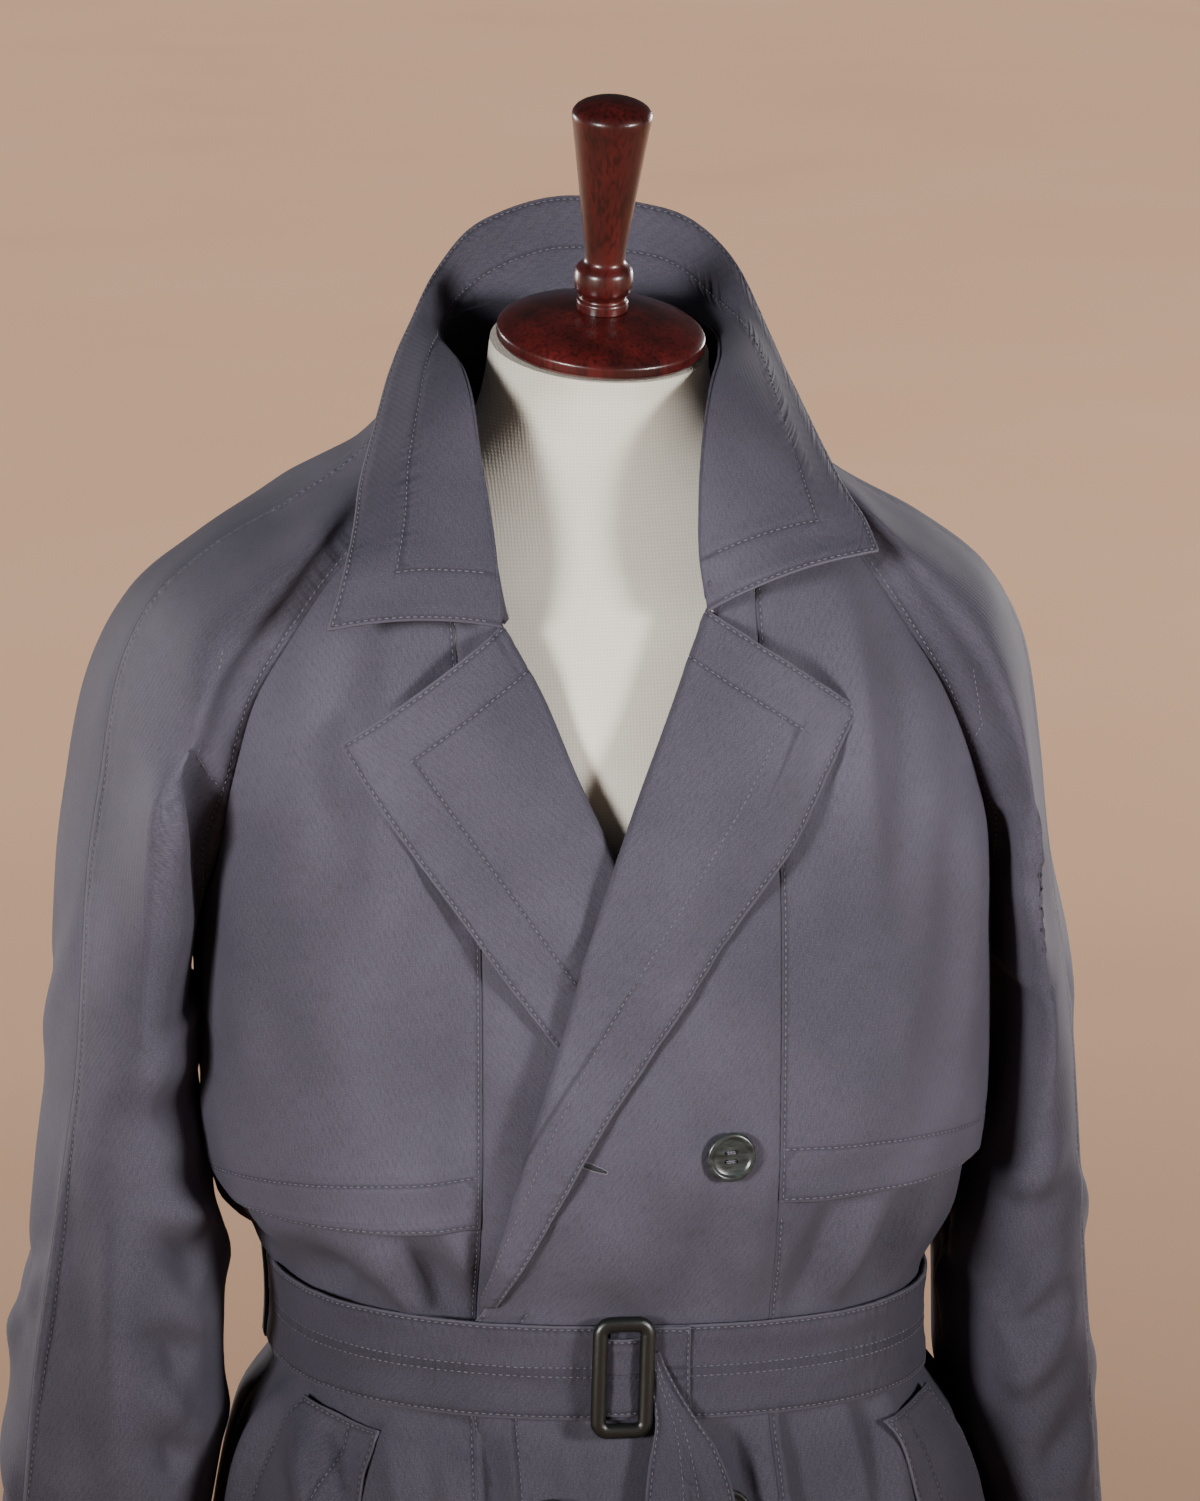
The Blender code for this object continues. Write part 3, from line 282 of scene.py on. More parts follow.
# The dress form: height, half width, front, back, squareness, centre in Y.
FORM = (
    (0.800, 0.157, 0.104, 0.102, 2.2, 0.000),
    (0.880, 0.158, 0.108, 0.104, 2.2, 0.000),
    (0.965, 0.148, 0.106, 0.098, 2.2, 0.000),
    (1.080, 0.158, 0.118, 0.108, 2.3, 0.000),
    (1.200, 0.176, 0.128, 0.118, 2.4, 0.000),
    (1.290, 0.180, 0.122, 0.118, 2.4, 0.000),
    (1.345, 0.168, 0.104, 0.108, 2.4, 0.000),
    (1.380, 0.138, 0.082, 0.088, 2.3, 0.000),
    (1.405, 0.104, 0.068, 0.073, 2.2, 0.000),
    (1.425, 0.077, 0.058, 0.062, 2.1, -0.001),
    (1.445, 0.062, 0.053, 0.056, 2.0, -0.003),
    (1.465, 0.057, 0.051, 0.055, 2.0, -0.007),
    (1.476, 0.056, 0.051, 0.053, 2.0, -0.010),
)
NECK_TILT = math.radians(13.0)  # the form's neck leans forward
NECK_SIDE_TILT = math.radians(2.6)  # and a little to the wearer's left
FINIAL_SIDE_TILT = math.radians(0.6)
NECK_TOP = (0.0, -0.0125, 1.4780)
# Turned wood, radius and height above the neck's top.
NECK_CAP = ((0.0520, 0.0000), (0.0535, 0.0025), (0.0535, 0.0060), (0.0515, 0.0085), (0.0440, 0.0120),
            (0.0300, 0.0160), (0.0145, 0.0185))
FINIAL = ((0.0132, 0.0190), (0.0132, 0.0230), (0.0118, 0.0255), (0.0146, 0.0300), (0.0152, 0.0350),
          (0.0146, 0.0400), (0.0104, 0.0455), (0.0108, 0.0520), (0.0134, 0.0720), (0.0165, 0.0950),
          (0.0193, 0.1150), (0.0204, 0.1230), (0.0190, 0.1262), (0.0120, 0.1300), (0.0050, 0.1315))

# %% [markdown]
# ## Curves through the tables
# A monotone cubic runs through the rows without overshooting, as a good seam does between two notches.

# %% Curve helpers
def smooth_through(xs, ys, x):
    """A smooth curve through the points that doesn't overshoot between them (monotone cubic)."""
    xs, ys = np.asarray(xs, float), np.asarray(ys, float)
    x = np.clip(x, xs[0], xs[-1])
    i = int(np.clip(np.searchsorted(xs, x) - 1, 0, len(xs) - 2))
    steps = np.diff(xs)
    slopes = (np.diff(ys, axis=0).T / steps).T
    tangents = np.zeros_like(ys)
    tangents[0], tangents[-1] = slopes[0], slopes[-1]
    same_way = slopes[:-1] * slopes[1:] > 0
    mean = 2 * slopes[:-1] * slopes[1:] / np.where(same_way, slopes[:-1] + slopes[1:], 1)
    tangents[1:-1] = np.where(same_way, mean, 0)
    t = (x - xs[i]) / steps[i]
    hold, rise = 2 * t**3 - 3 * t**2 + 1, t**3 - 2 * t**2 + t
    return (hold * ys[i] + rise * steps[i] * tangents[i] + (1 - hold) * ys[i + 1]
            + (t**3 - t**2) * steps[i] * tangents[i + 1])


def column(table, x, key=0, value=1):
    return float(smooth_through([row[key] for row in table], [row[value] for row in table], x))


def row_at(table, share):
    """All columns of a table at a share, 0 to 1, of the way from its first row to its last."""
    return smooth_through(np.linspace(0, 1, len(table)), np.asarray(table, float), share)


def soft_step(x, low, high):
    t = min(1.0, max(0.0, (x - low) / (high - low)))
    return t * t * (3 - 2 * t)


def spread(low, high, count):
    return [low + (high - low) * i / (count - 1) for i in range(count)]


def stretches(*runs):
    """Heights from runs of (low, high, steps), each run's end being the next one's start."""
    heights = [runs[0][0]]
    for low, high, steps in runs:
        heights += spread(low, high, steps + 1)[1:]
    return heights

# %% [markdown]
# ## The body's surface
# Cloth over a form follows its rings. Soft vertical folds fall from the waist, and the right front sinks
# under the left one where they lap. Every panel, flap and strap takes its points from this one surface, so
# whatever lies on a panel keeps clear of it.

# %% Surface of the body
TILT_FROM = (0.80, 0.92)  # the belt's tilt grows over these heights
TILT_TO = (1.00, 1.05)  # and is gone again over these
FOLD_REACH = 2  # a fold is felt as far as this many half spreads from its ridge
SINK_ACROSS = (-0.125, -0.079)  # the right front goes under the left one over these X
SINK_WAIST = (0.955, 0.998)  # more so above these heights
SINK_NECK = (1.30, 1.36)  # and no more above these
SEAM_MIDDLE = -0.008  # the long front seams lie the same way to both sides of this X
SEAM_MIDDLE_LEAN = -0.0075
SEAM_OUT = 0.0765
SEAM_FLARE = 0.05  # how much further out they run for each metre below the belt
SEAM_NECK_IN = 0.016
BELT_FOOT, BELT_HEAD = 0.94, 0.992  # rows of every panel meet these heights beside the belt


def lean(z):
    return column(LEAN, z)


def ring(level):
    """Half width, front, back and squareness of the body at a level."""
    return smooth_through([r[0] for r in BODY_RINGS], [r[1:] for r in BODY_RINGS], level)


def tilt(x, height):
    """How far the rings near the waist are tilted up or down at this X."""
    return BELT_TILT * x * soft_step(height, *TILT_FROM) * (1 - soft_step(height, *TILT_TO))


def fold_depth(angle, level):
    """How far the folds of the body stand out at an angle and level."""
    depth = 0.0
    for at, half, deep, top, full, bottom in FOLDS:
        off = (angle - at) / half
        if abs(off) >= FOLD_REACH or not bottom < level < top:
            continue
        along = soft_step(level, bottom, full) if level < full and bottom else 1.0
        along *= 1 - soft_step(level, full, top) ** 2 if level > full else 1.0
        depth += deep * along * math.exp(-1.6 * off * off)
    return depth


def sink(x, level):
    """How far the right front lies under the left one."""
    deep = SKIRT_SINK + (LAP_SINK - SKIRT_SINK) * soft_step(level, *SINK_WAIST)
    return deep * soft_step(x, *SINK_ACROSS) * (1 - soft_step(level, *SINK_NECK))


def plain(side, angle, level, out=0.0):
    """A point of the plain ring at a level, angle degrees round from centre front towards that side."""
    half, front, back, square = ring(level)
    a = math.radians(angle)
    s, c = math.sin(a), math.cos(a)
    depth = front if c > 0 else back
    x = math.copysign(abs(s) ** (2 / square), s) * half
    y = -math.copysign(abs(c) ** (2 / square), c) * depth
    nx = math.copysign(abs(s) ** (2 - 2 / square), s) / half
    ny = -math.copysign(abs(c) ** (2 - 2 / square), c) / depth
    size = math.hypot(nx, ny)
    z = level + tilt(side * x, level)
    return np.array([side * (x + out * nx / size) + lean(level), y + out * ny / size, z])


def body(side, angle, level, out=0.0, folds=True):
    """A point of the body's outer face: the plain ring with its folds and with the right front's sink."""
    if folds:
        out += fold_depth(side * angle, level)
    if side == RIGHT and angle < 90:
        out -= sink(plain(side, angle, level)[0] - lean(level), level)
    return plain(side, angle, level, out)


def angle_of(side, x, level):
    """The angle from centre front of the body's point at this X, negative past the centre."""
    half, square = ring(level)[[0, 3]]
    share = side * (x - lean(level)) / half
    return math.degrees(math.asin(math.copysign(min(1.0, abs(share)) ** (square / 2), share)))


def chest(side, x, z, out):
    """A point of the front by its X and height, as for what lies on it."""
    level = z - tilt(x, z)
    return body(side, angle_of(side, x, level), level, out, folds=False)


def seam_x(side, z):
    """The long front seam, where the flap's front edge is caught."""
    middle = SEAM_MIDDLE + SEAM_MIDDLE_LEAN * soft_step(z, 1.20, 1.35)
    flare = SEAM_FLARE * max(0.0, BELT_FOOT - z)
    return middle + side * (SEAM_OUT + flare - SEAM_NECK_IN * soft_step(z, 1.37, 1.44))


def raglan_angle(z):
    return column(RAGLAN, z) if z > ARMPIT else 90.0


def neckline_angle(z):
    return column([(height, angle) for angle, height in NECKLINE], z)


def neckline_height(angle):
    return column(NECKLINE, angle)


ring = functools.lru_cache(maxsize=None)(ring)  # neighbouring points share their level


# %% [markdown]
# ## Cloth as a grid
# A woven panel is a sheet with two thread directions, so a grid suits it: rows run up, columns run across.
# Near a stitched edge the columns are set at exact distances from it. That leaves real vertices where the
# needle went, and the groove of a seam can be modelled and not just painted.

# %% Set columns at measured distances from the edges
GROOVE_BANK = 0.0010  # a groove's banks lie this far to each side of its stitch line
ROLL_STEP = 0.0024
PLAIN_SHARE = 0.4  # a plain column stays at least this share of the spacing away from a mark


def held_back(grid, first=0.0, last=0.0, low=0.0, high=0.0):
    """Moves a grid's edges in along its rows (first, last) and columns (low, high)."""
    grid = np.array(grid, float)
    for edge, inner, gap in ((grid[:, 0], grid[:, 1], first), (grid[:, -1], grid[:, -2], last),
                             (grid[0], grid[1], low), (grid[-1], grid[-2], high)):
        way = inner - edge
        edge += gap * way / np.linalg.norm(way, axis=1, keepdims=True)
    return grid


def marks(lines, spacing):
    """Distances from an edge: on it, beside it, and at each stitch line with its two banks."""
    places = {0.0, GROOVE_BANK}
    for line in lines:
        places |= {max(0.0, line - GROOVE_BANK), line, line + GROOVE_BANK}
    last = max(places)
    fill = np.arange(spacing, last, spacing)
    places |= {float(d) for d in fill if min(abs(d - p) for p in places) > PLAIN_SHARE * spacing}
    return sorted(places)


def across(grid, low, high, spacing):
    """The grid with its columns moved to the marks of its low and high edges and evenly between them."""
    steps = np.linalg.norm(np.diff(grid, axis=1), axis=2)
    lengths = np.concatenate([np.zeros((len(grid), 1)), np.cumsum(steps, axis=1)], axis=1)
    low, high = marks(low, spacing), marks(high, spacing)
    between = max(2, round((lengths[:, -1].mean() - low[-1] - high[-1]) / spacing))
    rows = []
    for row, length in zip(grid, lengths):
        total = length[-1]
        fit = min(1.0, 0.9 * total / (low[-1] + high[-1] + 1e-9))
        a, b = np.array(low) * fit, total - np.array(high[::-1]) * fit
        at = np.concatenate([a, np.linspace(a[-1], b[0], between + 1)[1:-1], b])
        rows.append(np.stack([np.interp(at, length, row[:, k]) for k in range(3)], axis=1))
    return np.array(rows)


def measured(grid, lines, spacing, dense):
    """Columns and rows set to the marks. Lines are distances from the low, high, first and last edges.
    A dense strip along the low edge has columns a millimetre apart or less, for cloth that rolls there."""
    low = (*lines.get("low", ()), *np.arange(ROLL_STEP, dense, ROLL_STEP))
    grid = across(np.asarray(grid, float), low, lines.get("high", ()), spacing)
    turned_grid = across(grid.transpose(1, 0, 2), lines.get("first", ()), lines.get("last", ()), spacing)
    return turned_grid.transpose(1, 0, 2)


def run_lengths(grid, axis):
    """How far each point is along its row or column, from the start and from the end."""
    steps = np.linalg.norm(np.diff(grid, axis=axis), axis=2)
    start = np.zeros(grid.shape[:2])
    if axis == 1:
        start[:, 1:] = np.cumsum(steps, axis=1)
        return start, start[:, -1:] - start
    start[1:] = np.cumsum(steps, axis=0)
    return start, start[-1:] - start


def edge_distances(grid):
    """How far each point lies from the four edges, along its row or column."""
    return dict(zip(("low", "high", "first", "last"), (*run_lengths(grid, 1), *run_lengths(grid, 0))))


def normals_of(grid, flip):
    """The way out at each point."""
    normal = np.cross(np.gradient(grid, axis=1), np.gradient(grid, axis=0))
    normal /= np.linalg.norm(normal, axis=2, keepdims=True) + 1e-12
    return -normal if flip else normal


# %% [markdown]
# ## Folds placed one by one
# Gabardine is firm, so its folds are long and soft: a rounded ridge with a shallower trough on one side.
# Each row is one fold, drawn as seen from one side of the coat, from where it fades to where it is pinched.
# They differ in length, depth and spacing, because even folds look pressed.

# %% Fold tables
# For each group and the side it is seen from: faded end across and up, pinched end across and up, half width,
# depth, bow.
CREASES = {
    ("body", "front"): (
        (-0.180, 1.030, -0.140, 0.996, 0.0110, -0.0101, 0.004),
        (-0.142, 1.034, -0.108, 0.993, 0.0074, 0.0087, 0.002),
        (-0.132, 1.080, -0.092, 0.990, 0.0070, -0.0048, 0.006),
        (-0.162, 1.078, -0.096, 0.990, 0.0110, -0.0080, 0.007),
        (0.118, 1.080, 0.082, 0.990, 0.0100, -0.0065, -0.003),
        (0.150, 1.080, 0.102, 0.992, 0.0095, 0.0060, -0.004),
        (0.172, 1.070, 0.126, 0.992, 0.0095, -0.0060, -0.004),
        (-0.052, 1.072, 0.004, 0.992, 0.0138, 0.0049, 0.008),
        (-0.030, 1.060, -0.052, 0.994, 0.0110, -0.0043, -0.005),
        (0.046, 1.088, 0.030, 0.992, 0.0129, -0.0052, -0.004),
        (-0.010, 1.150, 0.022, 1.040, 0.0166, 0.0032, 0.006),
        (-0.160, 0.820, -0.173, 0.936, 0.0083, 0.0090, -0.003),
        (-0.144, 0.850, -0.152, 0.938, 0.0074, -0.0087, 0.002),
        (-0.122, 0.860, -0.128, 0.940, 0.0074, 0.0072, -0.002),
        (-0.074, 0.860, -0.090, 0.944, 0.0090, -0.0088, -0.003),
        (-0.060, 0.850, -0.066, 0.940, 0.0083, 0.0064, 0.002),
        (-0.028, 0.870, -0.036, 0.940, 0.0092, -0.0058, 0.003),
        (0.066, 0.850, 0.044, 0.946, 0.0105, -0.0066, -0.003),
        (0.078, 0.850, 0.066, 0.941, 0.0074, 0.0072, 0.002),
        (0.094, 0.850, 0.081, 0.944, 0.0095, -0.0058, 0.002),
        (0.120, 0.815, 0.108, 0.942, 0.0083, 0.0072, -0.004),
        (0.146, 0.830, 0.136, 0.942, 0.0083, 0.0067, 0.003),
        (-0.135, 0.480, -0.120, 0.760, 0.0202, 0.0072, 0.006),
        (0.130, 0.470, 0.105, 0.780, 0.0202, 0.0072, -0.006),
        (0.022, 0.520, 0.010, 0.840, 0.0239, 0.0058, 0.005),
    ),
    ("body", "back"): (
        (-0.150, 1.060, -0.062, 0.995, 0.0110, 0.0096, 0.006),
        (0.135, 1.075, 0.072, 0.995, 0.0101, 0.0093, -0.005),
        (-0.060, 1.150, -0.022, 0.996, 0.0120, 0.0081, 0.008),
        (0.034, 1.120, 0.022, 0.994, 0.0092, 0.0084, 0.003),
        (0.104, 1.240, 0.062, 1.060, 0.0166, 0.0064, -0.010),
        (-0.114, 1.260, -0.077, 1.080, 0.0184, 0.0067, 0.012),
        (-0.055, 1.240, -0.020, 1.385, 0.0184, 0.0046, 0.006),
        (0.070, 1.250, 0.040, 1.375, 0.0166, 0.0043, -0.006),
        (-0.137, 0.780, -0.122, 0.942, 0.0092, 0.0096, 0.004),
        (-0.088, 0.830, -0.085, 0.942, 0.0083, 0.0075, -0.003),
        (-0.026, 0.790, -0.030, 0.942, 0.0092, 0.0087, 0.002),
        (0.056, 0.820, 0.050, 0.942, 0.0083, 0.0084, 0.003),
        (0.120, 0.760, 0.106, 0.942, 0.0101, 0.0096, -0.004),
    ),
    ("body", "left"): (
        (-0.030, 1.080, 0.020, 0.994, 0.0092, 0.0087, 0.004),
        (0.054, 1.066, 0.010, 0.994, 0.0083, 0.0081, -0.003),
        (0.042, 0.790, 0.030, 0.942, 0.0101, 0.0087, 0.004),
    ),
    ("body", "right"): (
        (0.034, 1.080, -0.016, 0.994, 0.0092, 0.0087, 0.004),
        (-0.052, 0.800, -0.040, 0.942, 0.0101, 0.0087, -0.004),
    ),
    ("flap", "front"): (
        (-0.132, 1.150, -0.112, 1.376, 0.0166, 0.0065, 0.006),
        (-0.158, 1.190, -0.142, 1.352, 0.0120, -0.0045, -0.004),
        (-0.190, 1.090, -0.197, 1.236, 0.0110, 0.0065, 0.004),
        (-0.168, 1.210, -0.150, 1.070, 0.0202, 0.0037, 0.010),
        (-0.112, 1.190, -0.104, 1.060, 0.0166, 0.0030, -0.006),
        (0.116, 1.190, 0.101, 1.380, 0.0138, 0.0065, -0.005),
        (0.148, 1.150, 0.133, 1.350, 0.0129, -0.0045, 0.005),
        (0.176, 1.085, 0.181, 1.252, 0.0101, 0.0070, -0.004),
        (0.117, 1.200, 0.104, 1.070, 0.0184, 0.0037, 0.006),
        (0.143, 1.190, 0.136, 1.070, 0.0129, 0.0030, -0.004),
    ),
    ("sleeve", "front"): (
        (-0.208, 1.160, -0.222, 1.292, 0.0092, -0.0152, -0.004),
        (-0.240, 1.170, -0.233, 1.300, 0.0120, 0.0081, 0.004),
        (-0.246, 1.256, -0.220, 1.302, 0.0083, -0.0052, 0.003),
        (-0.262, 1.072, -0.208, 1.104, 0.0147, -0.0087, 0.006),
        (-0.252, 1.052, -0.212, 1.030, 0.0101, 0.0061, 0.004),
        (-0.250, 1.036, -0.214, 1.006, 0.0110, -0.0116, 0.004),
        (-0.258, 0.850, -0.255, 1.052, 0.0129, 0.0101, 0.004),
        (-0.256, 0.984, -0.222, 0.956, 0.0101, -0.0104, 0.004),
        (-0.256, 0.950, -0.226, 0.932, 0.0092, 0.0058, 0.003),
        (-0.252, 0.926, -0.226, 0.900, 0.0092, -0.0101, 0.004),
        (-0.262, 0.874, -0.230, 0.846, 0.0101, -0.0081, 0.004),
        (-0.301, 0.850, -0.288, 1.110, 0.0083, -0.0072, 0.003),
        (-0.160, 1.392, -0.228, 1.330, 0.0138, 0.0049, -0.006),
        (0.222, 1.130, 0.194, 1.240, 0.0092, -0.0152, 0.004),
        (0.214, 1.080, 0.207, 1.246, 0.0092, 0.0104, 0.003),
        (0.234, 1.140, 0.216, 1.214, 0.0092, -0.0058, -0.003),
        (0.226, 1.010, 0.202, 0.962, 0.0092, -0.0064, 0.003),
        (0.238, 1.060, 0.206, 1.030, 0.0110, 0.0067, 0.004),
        (0.242, 0.980, 0.210, 0.948, 0.0101, -0.0081, 0.004),
        (0.244, 0.940, 0.212, 0.916, 0.0092, 0.0064, -0.003),
        (0.262, 0.920, 0.230, 0.866, 0.0110, -0.0072, 0.004),
        (0.155, 1.392, 0.218, 1.332, 0.0138, 0.0049, 0.006),
    ),
    ("sleeve", "left"): (
        (0.040, 1.220, -0.040, 1.110, 0.0147, 0.0036, 0.008),
        (-0.070, 1.040, 0.020, 0.980, 0.0120, 0.0043, 0.006),
        (0.066, 1.020, -0.010, 0.944, 0.0110, -0.0043, -0.006),
        (-0.050, 0.940, 0.040, 0.880, 0.0120, 0.0036, 0.006),
    ),
    ("sleeve", "right"): (
        (-0.040, 1.220, 0.044, 1.100, 0.0147, 0.0036, -0.008),
        (0.066, 1.020, -0.020, 0.964, 0.0110, -0.0043, -0.006),
        (-0.066, 1.030, 0.020, 0.944, 0.0120, 0.0043, 0.006),
        (0.050, 0.920, -0.040, 0.870, 0.0120, 0.0036, -0.006),
    ),
    ("sleeve", "back"): (
        (0.228, 1.150, 0.206, 1.256, 0.0120, 0.0048, 0.006),
        (0.264, 1.060, 0.226, 1.000, 0.0110, 0.0040, 0.005),
        (0.232, 0.990, 0.268, 0.920, 0.0110, -0.0043, -0.005),
        (0.236, 0.930, 0.262, 0.860, 0.0120, 0.0034, 0.004),
        (-0.232, 1.160, -0.208, 1.266, 0.0120, 0.0048, -0.006),
        (-0.288, 1.090, -0.240, 1.010, 0.0110, 0.0040, -0.006),
        (-0.240, 0.990, -0.286, 0.910, 0.0120, -0.0043, 0.006),
        (-0.250, 0.920, -0.284, 0.850, 0.0120, 0.0034, -0.004),
    ),
    ("lapel", "front"): (
        (-0.090, 1.322, -0.058, 1.232, 0.016, 0.0024, 0.004),
        (-0.100, 1.280, -0.116, 1.230, 0.012, -0.0016, 0.002),
        (-0.050, 1.240, -0.034, 1.176, 0.012, 0.0026, 0.002),
        (0.060, 1.318, 0.072, 1.226, 0.018, 0.0024, -0.005),
        (0.026, 1.250, 0.008, 1.145, 0.016, 0.0024, -0.004),
        (-0.020, 1.140, -0.044, 1.054, 0.012, 0.0020, -0.003),
    ),
    ("collar", "front"): (
        (-0.110, 1.444, -0.128, 1.372, 0.014, 0.0024, 0.004),
        (-0.092, 1.420, -0.094, 1.368, 0.010, -0.0018, 0.003),
        (0.082, 1.444, 0.098, 1.396, 0.013, 0.0024, -0.003),
    ),
    ("collar", "back"): (
        (-0.030, 1.530, -0.020, 1.490, 0.018, 0.0018, 0.002),
        (0.040, 1.525, 0.030, 1.488, 0.016, 0.0018, 0.002),
    ),
    ("belt", "front"): (
        (-0.160, 0.964, -0.030, 0.958, 0.005, -0.0017, 0.003),
        (0.012, 0.974, 0.145, 0.968, 0.006, -0.0015, -0.003),
        (-0.140, 0.979, -0.080, 0.982, 0.004, 0.0012, 0.002),
        (0.050, 0.952, 0.125, 0.956, 0.004, 0.0012, -0.002),
    ),
    ("belt", "back"): (
        (-0.120, 0.960, 0.025, 0.964, 0.006, -0.0016, 0.003),
        (0.040, 0.973, 0.135, 0.966, 0.005, -0.0015, -0.002),
    ),
    ("tail", "front"): (
        (0.024, 0.870, 0.012, 0.956, 0.0050, 0.0022, 0.002),
        (0.037, 0.880, 0.025, 0.932, 0.0040, -0.0016, 0.001),
    ),
}
FOLDED_LIKE = {"side_front": ("body", "flap")}  # the cloth under a flap moves with it
VIEWS = {"front": (1, -1), "back": (1, 1), "left": (0, 1), "right": (0, -1)}  # axis looked along, its sign
print("folds:", sum(len(rows) for rows in CREASES.values()))


# %% [markdown]
# ### From a row to a form
# A fold is strongest near its pinched end and fades along its length, and it is felt only on cloth that
# faces the side it was drawn from. Between the folds free cloth is never quite even, and a sewn edge is too
# stiff to fold.

# %% Turn the tables into depth
SEAM_CALM = 0.010  # a seam keeps the cloth beside it calm as far as this
TROUGH_DEPTH = 0.42  # as a share of the ridge
TROUGH_ASIDE = 1.7  # in half widths
FACING = 1.7  # a fold is at full depth on cloth that turns up to 54 degrees away
PINCH_POWER = 1.7  # moves its deepest place towards the pinched end
SLACK_SCALES = (13, 41, 85)  # long waves, short waves and puckers, for each metre
SLACK_TALL = 0.45  # the waves are about twice as tall as wide
PUCKER_REACH = 0.009


def fold_relief(grid, normals, group):
    """How far the folds of a group move each point out along its normal."""
    relief = np.zeros(grid.shape[:2])
    chosen = [(view, row) for like in FOLDED_LIKE.get(group, (group,))
              for (part, view), rows in CREASES.items() if part == like for row in rows]
    for view, (x1, z1, x2, z2, half, deep, bow) in chosen:
        axis, sign = VIEWS[view]
        offset = np.stack([grid[..., 1 - axis] - x1, grid[..., 2] - z1], axis=-1)
        way = np.array([x2 - x1, z2 - z1])
        length = np.linalg.norm(way)
        way /= length
        along = np.clip(offset @ way / length, 0, 1)
        aside = offset @ np.array([-way[1], way[0]]) - bow * 4 * along * (1 - along)
        facing = np.clip(FACING * sign * normals[..., axis], 0, 1)
        t = aside / half
        profile = np.exp(-t * t) - TROUGH_DEPTH * np.exp(-((t - TROUGH_ASIDE) ** 2))
        relief += deep * np.sin(math.pi * along**PINCH_POWER) ** 0.8 * profile * facing
    return relief


def slack(grid, group, nearest):
    """The small unevenness of cloth that hangs free, longer than it is wide, and the puckers by a seam."""
    large = {"lapel": 0.0012, "collar": 0.0010, "belt": 0.0005, "tail": 0.0005}.get(group, 0.0022)
    pucker = {"collar": 0.0002, "lapel": 0.0010}.get(group, 0.0006)
    long_waves, short_waves, puckers = SLACK_SCALES
    values = []
    for (x, y, z), away in zip(grid.reshape(-1, 3), nearest.reshape(-1)):
        p = Vector((x, y, SLACK_TALL * z))
        value = large * noise.noise(p * long_waves) + 0.22 * large * noise.noise(p * short_waves)
        near = math.exp(-((away / PUCKER_REACH) ** 2))
        value += pucker * noise.noise(Vector((x, y, z)) * puckers) * near
        values.append(value)
    return np.array(values).reshape(grid.shape[:2])


def calm_at_seams(grid, free):
    """0 on a sewn edge and 1 from SEAM_CALM inwards: the layers of a seam are too stiff to fold."""
    calm = np.ones(grid.shape[:2])
    for edge, away in edge_distances(grid).items():
        if edge not in free:
            t = np.clip(away / SEAM_CALM, 0, 1)
            calm *= t * t * (3 - 2 * t)
    return calm


# %% [markdown]
# ## Edges and stitch lines
# A turned edge is thicker than the cloth beside it, and the thread pulls a narrow groove into it. Both are
# modelled: the edge swells a little between its rim and its first line, and each line sinks.

# %% Groove and swell along the stitched edges
GROOVE_DEPTH, GROOVE_HALF = 0.00045, 0.0009
SWELL, SWELL_HALF = 0.00060, 0.0045  # a turned edge is fullest this far inside its rim
SEAM_FALL, SEAM_FALL_HALF = 0.00060, 0.0018
FAR = 0.05  # stands for no line or rim near


def shown_points(points, hide):
    return np.array([hide is None or not hide(point) for point in points])


def edge_relief(grid, lines, free, hide):
    """Depth of the stitch grooves, the swell of turned edges and the fall of pressed seams."""
    shown = shown_points(grid.reshape(-1, 3), hide).reshape(grid.shape[:2])
    distance = edge_distances(grid)
    relief = np.zeros(grid.shape[:2])
    nearest = np.full(grid.shape[:2], FAR)
    rim = np.full(grid.shape[:2], FAR)
    for edge, away in distance.items():
        for line in lines.get(edge, ()):
            sewn = shown.copy()  # a line turns at the corner where it meets its neighbour
            for other in lines.keys() - {edge}:
                sewn &= distance[other] > min(line, max(lines[other])) - 0.0008
            relief -= np.where(sewn, GROOVE_DEPTH * np.exp(-(((away - line) / GROOVE_HALF) ** 2)), 0.0)
            nearest = np.where(sewn, np.minimum(nearest, np.abs(away - line)), nearest)
        if edge in free:
            relief += SWELL * np.exp(-(((away - SWELL_HALF) / SWELL_HALF) ** 2))
            rim = np.minimum(rim, away)
        else:
            relief -= SEAM_FALL * np.exp(-((away / SEAM_FALL_HALF) ** 2))
    return relief, nearest, rim


# %% [markdown]
# ## Thread
# Each stitch of a lockstitch seam is a short thread that dives into the cloth at both ends, so a slim
# rounded grain is its true shape. One grain is made once, and a whole line is that grain repeated.

# %% Stitches along a path
STITCH_PITCH = 0.0036
STITCH_LENGTH = 0.0026
STITCH_THICK = 0.00075
grain = bmesh.new()
bmesh.ops.create_icosphere(grain, subdivisions=1, radius=0.5)
GRAIN_POINTS = np.array([v.co[:] for v in grain.verts])
GRAIN_FACES = np.array([[v.index for v in f.verts] for f in grain.faces])
grain.free()
thread_paths = {}


def sew(group, path, normals, keep):
    """Keeps a line of stitches for a group. Only where keep is true is the line sewn."""
    inside = np.flatnonzero(keep)
    if len(inside) > 3:
        run = slice(inside[0], inside[-1] + 1)
        thread_paths.setdefault(group, []).append((path[run], normals[run]))


